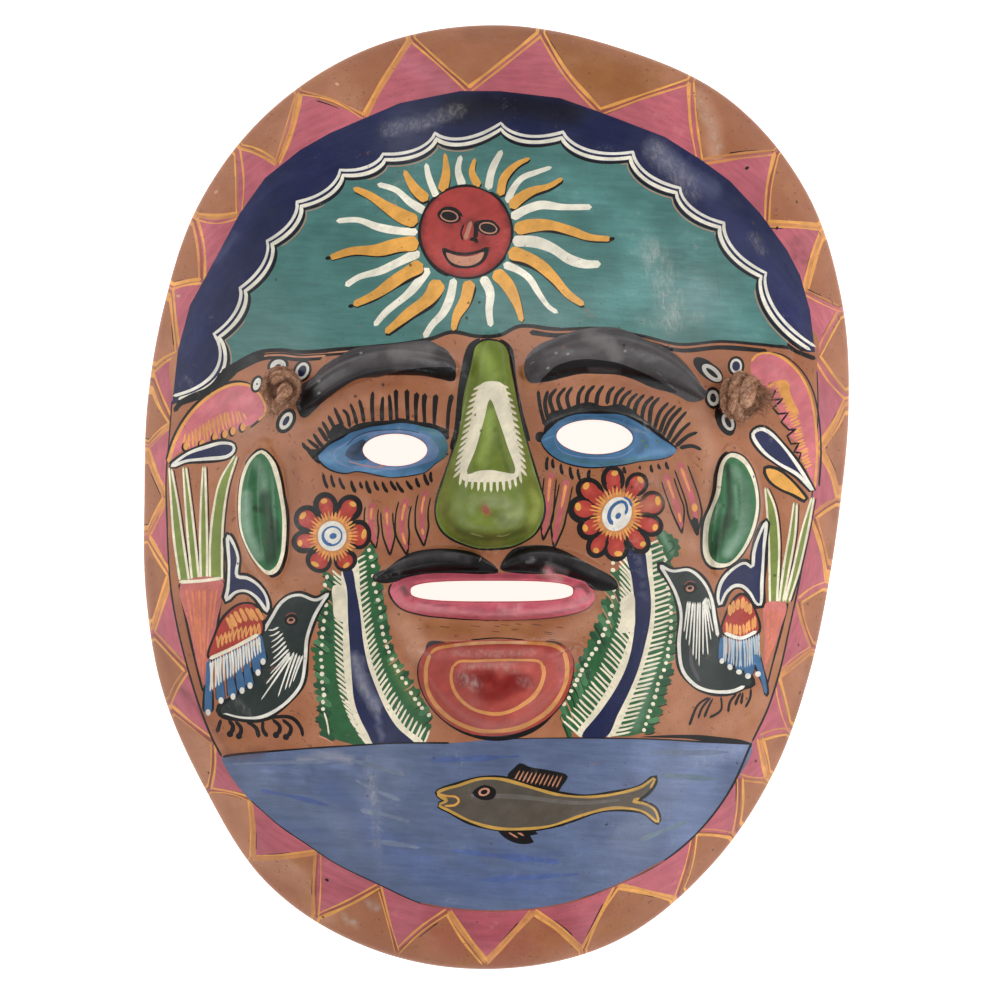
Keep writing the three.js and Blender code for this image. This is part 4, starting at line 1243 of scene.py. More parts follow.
def paint_ferns(paint):
    """Two navy stems from the flowers to the water, fringed with cream and edged with leaves. A
    side has the line where its fringe starts, the teeth's reach at the top and at the foot, the
    leaves' outer line, and their reach."""
    ferns = (
        (px(343,568, 347,590, 348,620, 350,650, 352,680, 354,700, 359,716, 367,732, 377,748),
         px(351,568, 356,590, 360,612, 363,640, 368,665, 377,690, 386,710, 397,727, 418,748),
         ((px(341,577, 343,600, 343,620, 343,650, 345,680, 348,700, 353,715, 360,730, 370,746),
           (-9, -7), (-9, -8), px(323,574, 318,600, 316,630, 312,650, 313,675, 316,700, 316,720, 320,732),
           (-16, -14), (-16, -8), 20, 33),
          (px(357,560, 361,600, 367,640, 373,665, 382,690, 393,710, 405,727, 424,743),
           (9, -5), (6, -13), px(375,545, 380,560, 383,580, 386,600, 390,620, 393,640, 401,658, 411,676,
               421,692, 432,710, 430,725),
           (10, -7), (11, -9), 20, 38))),
        (px(627,548, 632,580, 635,612, 633,640, 627,665, 615,690, 600,712, 582,737),
         px(642,546, 648,575, 651,600, 650,620, 645,645, 638,670, 629,692, 618,714, 606,737),
         ((px(629,562, 631,600, 630,632, 623,655, 614,676, 603,696, 591,714, 577,733),
           (-11, -13), (-14, -13), px(610,572, 604,592, 600,608, 593,624, 586,640, 578,656, 573,672,
               567,688, 562,704, 564,722),
           (-12, -22), (-9, -26), 19, 36),
          (px(649,545, 653,575, 655,600, 654,625, 649,650, 641,675, 631,700, 614,735),
           (15, -6), (17, -3), px(668,545, 677,575, 679,610, 678,640, 675,662, 670,685, 664,705, 655,728),
           (13, -5), (13, -3), 19, 38))),
    )
    for left, right, sides in ferns:
        for start, first, last, edge, reach, reach_low, leaves, _ in sides:
            paint_leaves(paint, edge, (reach, reach_low), leaves, start)
        for (start, first, last, _, _, _, _, teeth), stem in zip(sides, (left, right)):
            paint.fill("cream", start + stem[::-1])
            roots = along(start, teeth)
            shares = np.linspace(0, 1, teeth)[:, None]
            reach = (np.array(first) * (1 - shares) + np.array(last) * shares) * (PIXEL, -PIXEL)
            paint.comb("cream", roots - reach * 0.3, roots + reach, 0.84, (1, 0.7), jitter=0.15)
        paint.fill("navy", left + right[::-1])
    paint.fill("cream", px(333,586, 333,604, 335,618, 346,622, 346,600, 343,586))
    paint.fill("cream", px(621,600, 621,618, 618,632, 633,630, 635,612, 633,594))
    # Painted sheen on the navy stems, and painted highlights on the leaves.
    paint.softs_over("navy", (
        ("navy_sheen", px(354,658, 360,676, 368,692, 376,704), 18, 0.7),
        ("navy_sheen", px(375,700, 378,720, 382,738), 7, 0.5),
        ("navy_sheen", px(640,560, 644,600), 5, 0.3),
    ))
    paint.softs_over(("leaf_green", "leaf_mid"), (
        ("leaf_light", px(392,660, 404,684, 418,704), 14, 0.25),
        ("green_highlight", px(652,665, 645,700, 636,728), 14, 0.45),
    ))
    dots = px(327,577, 325,585, 326,605, 326,613, 324,621, 323,629, 322,637, 322,645, 321,653, 321,660,
        322,667, 322,674, 322,682, 323,689, 324,695, 323,702, 323,709, 369,550, 371,557, 373,566, 373,576,
        374,584, 376,592, 378,600, 380,608, 381,617, 382,627, 383,634, 385,641, 387,647, 389,652, 392,659,
        395,666, 398,671, 402,678, 406,683, 411,693, 415,699, 419,704, 422,708, 429,715, 613,563, 613,570,
        614,590, 613,597, 612,606, 610,614, 608,622, 605,629, 603,635, 599,642, 596,649, 592,654, 589,659,
        586,665, 582,670, 580,675, 577,680, 575,685, 571,691, 569,698, 564,704, 657,533, 661,539, 662,544,
        664,550, 666,558, 668,588, 669,594, 671,607, 671,613, 671,621, 671,628, 671,636, 670,642, 668,649,
        668,656, 666,663, 664,670, 661,677, 658,684, 657,690, 655,697, 653,704, 650,711, 648,717, 646,724,
        644,730)
    paint.dots("cream", dots, 0.71)
    paint.stroke("cream", px(324,712, 327,722, 329,735), 0.65, (0.9, 0.8))
    # The curled leaf by the right bird's beak
    for tip in px(672,560, 679,556, 681,548, 679,540, 672,534, 664,530, 656,528):
        paint.stroke("leaf_green", [(54.1, -15.8), tip], 2.58, (0.8, 0.9))
    # A painted highlight on the curled leaf.
    paint.soft("green_highlight", px(662,534, 668,545, 672,552), 9, 0.6, "leaf_green")
    paint.stroke("leaf_line", px(668,553, 674,547, 672,541, 667,542), 0.52, (0.8, 0.5))


def paint_tail(paint, outline):
    """A forked navy tail with a white edge, outlined in black."""
    paint.loop("black", outline, 2.75)
    paint.fill("navy", outline)
    paint.loop("white", outline, 0.97)


def paint_birds(paint):
    """Two dark birds face to face, with a pale line round each and a fan of white on its breast.
    Their wings are red and orange, with a white fringe and blue feathers that end in dots."""
    paint_tail(paint, px(228,536, 234,545, 238,558, 237,576, 247,578, 257,584, 265,594, 268,605, 267,611,
        261,603, 255,596, 246,591, 236,592, 226,600, 228,588, 229,563))
    paint_tail(paint, px(766,522, 764,546, 762,580, 760,605, 756,603, 750,593, 742,586, 734,586, 726,593,
        720,605, 718,596, 722,581, 733,569, 745,563, 752,567, 754,552, 759,536))
    left = px(329,593, 316,600, 300,595, 289,597, 280,604, 272,617, 263,632, 261,648, 257,664, 249,684,
        236,697, 220,709, 223,714, 240,718, 258,718, 273,712, 289,700, 301,684, 305,662, 307,638, 314,617,
        322,603)
    right = px(660,565, 672,571, 689,570, 702,580, 711,597, 715,620, 718,637, 722,655, 732,668, 748,676,
        752,684, 745,686, 733,691, 719,692, 706,690, 695,685, 683,671, 679,646, 681,613, 676,594, 669,580)
    for bird in (left, right):
        paint.loop("black", bird, 2.58)
        paint.fill("bird", bird)
    paint.stroke("white", left[0:7], 1.42, (0.6, 0.8))
    paint.stroke("white", left[12:] + left[:1], 1.42, (0.8, 0.7))
    paint.stroke("white", right[0:7], 1.42, (0.6, 0.8))
    paint.stroke("white", right[11:] + right[:1], 1.42, (0.8, 0.7))
    paint.stroke("charcoal", px(690,645, 692,665, 700,682), 1.94, (0.3, 0.5), swell=0.4)
    # Breast feathers, and the eyes
    fan = zip(px(279,627, 280,631, 283,633, 284,637, 286,641, 287,645, 289,649, 290,652, 290,654, 291,656,
        294,652, 297,653, 300,655, 303,655),
              px(268,630, 269,636, 271,642, 271,648, 272,653, 273,659, 270,666, 270,674, 266,684, 261,700,
                  278,697, 285,690, 289,688, 293,682))
    for start, end in fan:
        paint.stroke("white", [start, (np.array(start) + end) / 2 - (0.3, 0.5), end], 0.74, (1, 0.5))
    fan = zip(px(688,601, 690,601, 693,602, 695,602, 698,602, 700,602, 703,601, 704,599, 705,598, 706,597,
        708,598),
              px(684,632, 686,640, 689,646, 693,656, 696,660, 699,666, 703,655, 708,655, 711,640, 713,632,
                  711,610))
    for start, end in fan:
        paint.stroke("white", [start, (np.array(start) + end) / 2, end], 0.68, (1, 0.5))
    for eye in ((-66.4, -39.7), (62.5, -29.4)):
        paint.blob("black", eye, (2.26, 1.94))
        paint.blob("dusty_pink", (eye[0], eye[1] - 0.2), (1.36, 1.03), 10)
        paint.blob("black", (eye[0], eye[1]), (0.84, 0.58), 10)
        paint.stroke("rust", [(eye[0] - 1.94, eye[1] + 0.97), (eye[0], eye[1] + 2.26),
                              (eye[0] + 1.94, eye[1] + 1.62)], 0.65, (0.5, 0.5))
    # The left wing
    wing = px(210,658, 217,632, 226,616, 240,605, 253,605, 260,615, 261,634)
    paint.loop("black", wing, 1.62)
    paint.fill("petal_red", wing)
    tops = along(px(226,617, 238,609, 256,608), 7)
    paint.comb("pale_orange", tops, tops + (2.26, -4.2), 1.36, (0.9, 1))
    tops = along(px(217,636, 235,628, 259,623), 11)
    paint.comb("pale_orange", tops, tops + (0.32, -4.2), 0.84, (0.8, 1))
    paint.comb("pale_orange", tops[:-1] + (0, -3.55), tops[1:], 0.48, (1, 0.8))
    roots = along(px(209,660, 235,648, 259,634), 7, 0.0, 1.0)
    ends = px(208,714, 221,702, 233,698, 242,692, 250,687, 258,674, 263,663)
    for root, end in zip(roots, ends):
        paint.stroke("black", [(root + end) / 2, end], 4.04, (0.7, 1))
    for root, end in zip(roots, ends):
        paint.stroke("wing_blue", [root, (root + end) / 2, end], 2.75, (0.6, 1))
    roots = along(px(210,661, 235,649, 259,636), 19)
    reach = np.linspace(10.02, 5.49, 19)
    paint.comb("white", roots, roots + np.stack([np.linspace(0, 0.65, 19), -reach], 1), 0.81,
               (1, 0.6), jitter=0.15)
    paint.stroke("cream", px(209,659, 235,647, 259,634), 1.1)
    for end in ends:
        paint.blob("white", (end[0], end[1] + 0.48), (0.84, 1.1))
    # The right wing
    paint.stroke("black", px(754,652, 760,670, 765,684, 767,697), 4.2, (0.8, 0.35), swell=0.1)
    wing = px(723,632, 729,610, 736,599, 742,595, 750,602, 758,631, 742,638)
    paint.loop("black", wing, 1.62)
    paint.fill("petal_red", wing)
    tops = along(px(730,604, 741,597, 750,603), 6)
    paint.comb("pale_orange", tops, tops - (0, 3.88), 1.42, (0.8, 1))
    tops = along(px(727,622, 741,624, 755,616), 10)
    paint.comb("pale_orange", tops, tops - (0, 3.88), 0.97, (0.8, 1))
    ends = px(722,661, 730,667, 739,672, 748,676)
    roots = along(px(724,636, 740,640, 755,636), 4)
    for root, end in zip(roots, ends):
        paint.stroke("black", [(root + end) / 2, end], 3.88, (0.7, 1))
    for root, end in zip(roots, ends):
        paint.stroke("wing_blue", [root, end], 2.91, (0.8, 1))
    roots = along(px(724,635, 741,640, 758,633), 15)
    reach = 8.4 + np.linspace(0, 1.29, 15)
    paint.comb("pale_blue", roots, roots - np.stack([np.linspace(0.32, -0.65, 15), reach], 1), 0.74,
               (1, 0.6), jitter=0.15)
    paint.stroke("wing_blue", px(755,654, 760,668, 764,683, 766,694), 3.07, (0.8, 0.3), swell=0.1)
    paint.stroke("white", px(724,633, 741,638, 757,631), 1.16)
    paint.dots("white", ends + px(758,674), 0.9)
    # Feet and claws
    paint.stroke("black", px(221,715, 240,720, 258,721, 275,717, 292,718, 301,728, 303,737), 1.42,
                 (0.8, 0.8))
    claws = (px(221,719, 219,726, 217,733), px(228,720, 233,726, 231,734), px(235,721, 241,728, 240,736),
             px(246,721, 256,728, 259,738), px(263,720, 263,730, 268,737), px(272,719, 280,727, 278,735),
             px(282,719, 291,728, 288,737))
    for claw in claws:
        paint.stroke("black", claw, 1.36, (0.8, 1.1))
    for x, y in ((230, 734), (239, 736), (276, 735), (286, 737)):
        paint.blob("black", on_photo(x, y), 1.1)
    claws = (px(709,697, 698,705, 689,726), px(711,697, 702,708, 698,719), px(713,698, 708,708, 704,718),
             px(721,696, 721,710, 709,718), px(737,693, 730,702, 728,713), px(741,692, 737,700, 735,706),
             px(743,692, 742,698, 741,705), px(751,688, 750,698, 745,708))
    for claw in claws:
        paint.stroke("black", claw, 0.9, (0.8, 1))


def paint_temples(paint):
    """Pink plumes at the temples, small rimmed leaves round the twine, and tall leaves in cones."""
    plume = px(168,463, 175,441, 185,422, 197,407, 210,396, 223,388, 237,384, 250,386, 259,394, 265,405,
        265,413, 258,421, 248,426, 235,430, 224,436, 213,442, 202,446, 190,449, 180,452)
    paint.stroke("black", [(x - 0.65, y + 0.78) for x, y in plume[:9]], 0.97, (0.8, 0.8))
    paint.fill("plume_pink", plume)
    paint.stroke("black", px(264,416, 256,423, 250,428), 1.29, (0.7, 0.5))
    paint.stroke("orange", plume[:12], 1.16, (1, 0.6))
    tops = along(px(188,434, 204,425, 222,414, 236,410, 246,412), 17)
    lows = along(px(184,448, 196,446, 210,440, 228,430, 246,421), 17)
    paint.comb("orange", tops - (0.97, 0), lows, 0.78, (0.6, 0.7), jitter=0.35)
    paint.soft("orange", px(186,441, 204,430, 226,417), 12, 0.5, "plume_pink")
    for x, y in ((186, 446), (202, 444), (215, 437), (225, 434), (233, 431), (243, 427)):
        paint.blob("black", on_photo(x - 1, y + 1), (1.62, 1.16), 80)
        paint.blob("orange", on_photo(x, y), (1.36, 0.84), 85)
    plume = px(751,362, 757,355, 767,353, 781,357, 798,372, 809,392, 815,420, 817,452, 815,488, 811,480,
        803,461, 797,452, 797,444, 790,436, 787,425, 780,418, 779,409, 772,402, 770,390, 765,386, 756,382,
        751,372)
    paint.stroke("black", [(x + 1.29, y + 0.32) for x, y in plume[2:9]], 0.84, (0.5, 0.8))
    paint.fill("plume_pink", plume)
    paint.stroke("orange", plume[:9], 0.97, (0.8, 0.8))
    tops = along(px(784,384, 790,398, 797,412, 803,432, 808,450, 812,464), 27)
    paint.comb("orange", tops, tops - (2.91, 1.29), 0.84, (1, 0.6), jitter=0.25)
    paint.stroke("orange", px(767,388, 776,383, 786,382, 789,390), 1.62, (0.5, 0.8))
    paint.fill("orange", px(778,386, 786,384, 792,398, 799,414, 790,412, 784,400))
    barb = px(776,389, 771,400, 783,399, 773,408, 778,414, 788,413, 781,422, 789,430, 796,429, 787,436,
        791,444, 799,443, 794,452, 801,453, 798,462)
    paint.stroke("black", barb, 0.9, (0.8, 0.7), sharp=True)
    # Leaves with a white edge beside the plumes
    for colour, edge, outline in (
        ("navy", "white", px(172,466, 187,454, 206,447, 222,443, 233,445, 234,450, 228,456, 204,459,
         186,461)),
        ("navy", "white", px(753,434, 761,429, 770,433, 783,446, 798,466, 813,491, 798,475, 778,463,
         762,450)),
        ("yellow", "black", px(766,469, 776,470, 790,480, 806,500, 794,494, 780,488, 770,480)),
    ):
        paint.loop("black", outline, dab(8 if edge == "white" else 6))
        paint.fill(colour, outline)
        if edge == "white":
            paint.loop(edge, outline, 1.03)
    # Small rimmed leaves round the twine: centre, half sizes and turn, black, white and inside
    for centre, black, white, inside_size, turn, shade in (
        ((-70.6, 42.3), (11, 9), (8, 6.5), (3, 2), 20, "navy"),
        ((-62.8, 40.7), (11.5, 9), (9, 6.5), (6, 4), 65, "navy"),
        ((-77.4, 36.5), (9, 6), (6.5, 3.5), (1, 1), 70, "navy"),
        ((-68, 24.6), (13.5, 9), (9.5, 5.5), (5.5, 2.6), 60, "navy"),
        ((68.3, 41), (18, 8), (1, 1), (1, 1), -40, "black"),
        ((69.6, 40.1), (13, 8), (12, 6), (7.5, 2.2), -40, "black"),
        ((77.4, 42.3), (8.5, 10), (6, 7.5), (4, 5), 0, "navy"),
        ((70, 32), (8.5, 11), (5.8, 8), (3, 4.6), 8, "black"),
        ((73.8, 24.6), (8.5, 16), (1, 1), (1, 1), 25, "black"),
        ((74.8, 24.2), (7.5, 11), (5.6, 9), (2.6, 6), 25, "black"),
    ):
        paint.blob("black", centre, (dab(black[0]), dab(black[1])), turn)
        if white[0] > 1:
            paint.blob("white", centre, (dab(white[0]), dab(white[1])), turn)
            paint.blob(shade, centre, (dab(inside_size[0]), dab(inside_size[1])), turn)
    # Tall leaves in two cones
    leaves = (
        px(169,467, 171,500, 174,540, 180,581), px(171.5,469, 178,505, 183,540, 189,581),
        px(183,467, 185,500, 188,540, 192,581), px(186,467, 191,505, 195,540, 199,580),
        px(203,466, 201,500, 200,540, 201,580), px(205,466, 206,500, 207,540, 207,580),
        px(235,455, 220,481, 213,513, 210,545, 210,580), px(237,456, 228,486, 223,521, 222,550, 222,580),
        px(765,487, 767,510, 769,550, 770,603), px(767,488, 775,508, 779,540, 777,603),
        px(794,502, 790,530, 784,565, 779,603), px(797,503, 795,535, 789,570, 783,602),
        px(812,497, 802,530, 794,565, 785,602), px(814,497, 808,530, 799,570, 789,602),
    )
    for left, right in zip(leaves[::2], leaves[1::2]):
        paint.fill("vase_green", left + right[::-1])
        paint.stroke("black", side_by_side(smooth_line(right), 0.71), 0.71, (0.5, 0.8))
    for left, right in zip(leaves[::2], leaves[1::2]):
        paint.stroke("cream", left, 0.78, (0.8, 1))
        paint.stroke("cream", right, 0.78, (0.8, 1))
    paint.stroke("black", px(179,583, 186,620, 195,660, 203,692), 1.1, (0.8, 0.6))
    paint.stroke("black", px(223,580, 217,630, 210,670, 203,692), 1.1, (0.8, 0.6))
    paint.fill("cone_pink", px(181,584, 222,580, 216,625, 209,665, 204,686, 199,672, 190,630))
    for x0, x1, y1 in ((186, 196, 645), (192, 198, 650), (199, 201, 655), (205, 204, 660), (212, 207, 650),
                       (217, 211, 630), (196, 200, 672), (203, 203, 678)):
        paint.stroke("cone_orange", [on_photo(x0, 589), on_photo(x1, y1)], 1.03, (0.8, 0.5))
    paint.stroke("cream", px(179,582, 200,581, 222,578), 1.03)
    paint.stroke("black", px(788,602, 781,632, 773,662, 766,690), 0.97, (0.8, 0.6))
    paint.fill("cone_pink", px(765,604, 786,604, 780,630, 771,655, 764,670, 765,640))
    for x0, x1, y0, y1 in (
        (768, 768, 610, 640),
        (774, 771, 608, 645),
        (780, 775, 612, 636),
        (770, 766, 640, 664),
        (774, 768, 642, 658),
    ):
        paint.stroke("cone_orange", [on_photo(x0, y0), on_photo(x1, y1)], 1.03, (0.8, 0.5))


def paint_fish(paint):
    """A grey fish with a yellow outline, a hatched fin and a black eye."""
    paint.fill("black", px(507,777, 515,767, 520,763, 530,767, 548,770, 568,776, 562,786, 556,794, 530,786))
    for index in range(11):
        x = 516 + 4.2 * index
        paint.stroke("clay_line", [on_photo(x + 4, 770 + 0.6 * index), on_photo(x - 2, 781 + 0.7 * index)],
            0.58, (0.6, 1))
    paint.fill("black", px(497,828, 505,838, 520,844, 534,842, 530,836, 538,834, 527,827))
    paint.stroke("clay_line", px(508,832, 518,838), 0.58)
    paint.stroke("clay_line", px(516,831, 524,836), 0.58)
    body = px(438,793, 460,785, 480,779, 500,779, 520,784, 540,790, 560,795, 590,797, 620,793, 641,787,
        655,778, 650,789, 640,798, 633,801, 645,804, 655,810, 658,822, 644,812, 625,808, 605,809, 580,816,
        550,826, 520,829, 495,828, 470,821, 450,811, 439,805, 448,801)
    paint.loop("black", body, 2.1)
    paint.fill("fish", body)
    paint.stroke("fish_light", px(470,795, 520,797, 580,803, 620,800), 2.58, (0.5, 0.3), swell=0.4)
    paint.stroke("fish_gold", body[-1:] + body[:12], 1.29, (0.8, 0.6), wander=0.25)
    paint.stroke("fish_gold", body[12:], 1.16, (0.7, 0.8), wander=0.25)
    paint.softs_over("fish_gold", (
        ("fish", px(560,797, 610,799, 640,790), 6, 0.35),
        ("fish", px(590,810, 620,806, 650,806), 6, 0.4),
    ))
    paint.fill("black", px(472,793, 484,785, 496,790, 494,798, 482,800))
    paint.blob("dusty_pink", (-4, -95.3), (1.94, 1.29), 15)
    paint.blob("black", (-4, -95.3), (1.16, 0.78), 15)
    paint.stroke("yellow", px(438,794, 447,796, 456,797, 459,801, 455,805, 444,806), 0.97, (0.8, 0.7))


# Paints, as sRGB
PALETTE = {
    "terracotta": 0xA66C4C, "pink": 0xB45E69, "plume_pink": 0xCC6E76, "cone_pink": 0xC06C64,
    "cone_orange": 0xD27A58, "orange": 0xDC9A50, "dull_orange": 0xC8864F, "rust": 0x94503E,
    "pale_orange": 0xE09A58, "chin_orange": 0xCE8C50, "tear_pink": 0xBE5F66, "dusty_pink": 0xB9826A,
    "clay_line": 0xBE8264, "navy": 0x1D2349, "navy_sheen": 0x787C96, "teal": 0x4C7A75,
    "water": 0x5C6A8A, "water_grey": 0x6C7890, "water_green": 0x667888, "water_deep": 0x4E6092,
    "cream": 0xE6DCC2, "white": 0xE0DBD0, "sun_red": 0xA83C38, "yellow": 0xDEA14C,
    "black": 0x0E0A0B, "charcoal": 0x484446, "grey": 0x7C7878, "lid_blue": 0x48749B,
    "lid_shade": 0x2A4464, "lid_highlight": 0x6090B8, "nose_green": 0x6C7C2E, "nose_sheen": 0x8A9460,
    "nose_shade": 0x48521E, "leaf_light": 0x84904E, "lips_pink": 0xCE5F6E, "lips_highlight": 0xDC8A92,
    "lips_shade": 0x7E3A44, "chin_red": 0xA2433A, "chin_deep": 0x8A2A24, "ear_green": 0x3A6E48,
    "petal_red": 0xAA3A30, "petal_light": 0xBE4C40, "petal_orange": 0xC87C44, "ring_blue": 0x3C6496,
    "leaf_green": 0x2C5E38, "leaf_mid": 0x4C7852, "leaf_dark": 0x244C32, "leaf_line": 0x1C2A1C,
    "bird": 0x242E2C, "wing_blue": 0x3E668E, "periwinkle": 0x6C84AC, "brow_highlight": 0x75706F,
    "rose": 0xA84A5C, "nose_highlight": 0x93A850, "clay_deep": 0x7E4A2E, "clay_ochre": 0x95602F,
    "clay_pale": 0xC69478, "dark_stain": 0x4A2E28, "dust": 0xC4BCB4, "teal_light": 0x669A98,
    "teal_deep": 0x3C6A66, "water_light": 0x7E8EB4, "navy_deep": 0x090C20, "pink_light": 0xC47A86,
    "pink_deep": 0x9C4450, "plume_light": 0xDC8A90, "sun_light": 0xC0605A, "lips_glint": 0xE0848E,
    "chin_shade": 0x7C1612, "chin_highlight": 0xBE6058, "worn": 0xC9C3BC, "ray_white": 0xE8E2D0,
    "clay_red": 0x984634, "navy_side_sheen": 0x34386A, "green_highlight": 0x7C9C84, "pale_blue": 0xAEB8BE,
    "ear_shade": 0x12361C, "fish_gold": 0xBE9448, "vase_green": 0x78883E, "fish": 0x585046,
    "fish_light": 0x66605A,
}


WATER_STREAKS = [
    ((-85.5, -86.3), (-53.8, -85.6), "water_grey"), ((-47.3, -85), (-29.6, -89.8), "water_grey"),
    ((-45.7, -91.4), (-31.2, -97.9), "water_grey"), ((-44.1, -101.1), (-27.9, -105), "water_grey"),
    ((-42.5, -110.8), (-24.7, -113.4), "water_grey"), ((49.6, -82.4), (75.4, -82.4), "water_grey"),
    ((52.8, -89.8), (72.2, -91.4), "water_green"), ((46.4, -110.8), (62.5, -104.4), "water_green"),
    ((-21.5, -85), (7.6, -83.7), "water_deep"), ((-15, -114.1), (20.5, -117.9), "water_deep"),
    ((-5.3, -123.7), (27, -121.8), "water_deep"), ((-76.4, -94.7), (-53.8, -99.8), "water_deep"),
]


def scattered(paint, start, end, spread, count, reach, longer):
    """Short marks strewn along the line from start to end. spread is how far they stray from it and
    reach is a mark's run, both in pixels, and longer is the range that its length varies in."""
    start, end = np.array(start), np.array(end)
    for share in paint.random.random(count):
        place = start + (end - start) * share + paint.random.normal(0, dab(spread / 2), 2)
        way = np.array(reach) * (PIXEL, -PIXEL) * paint.random.uniform(*longer)
        yield [place - way / 2, place + way / 2]


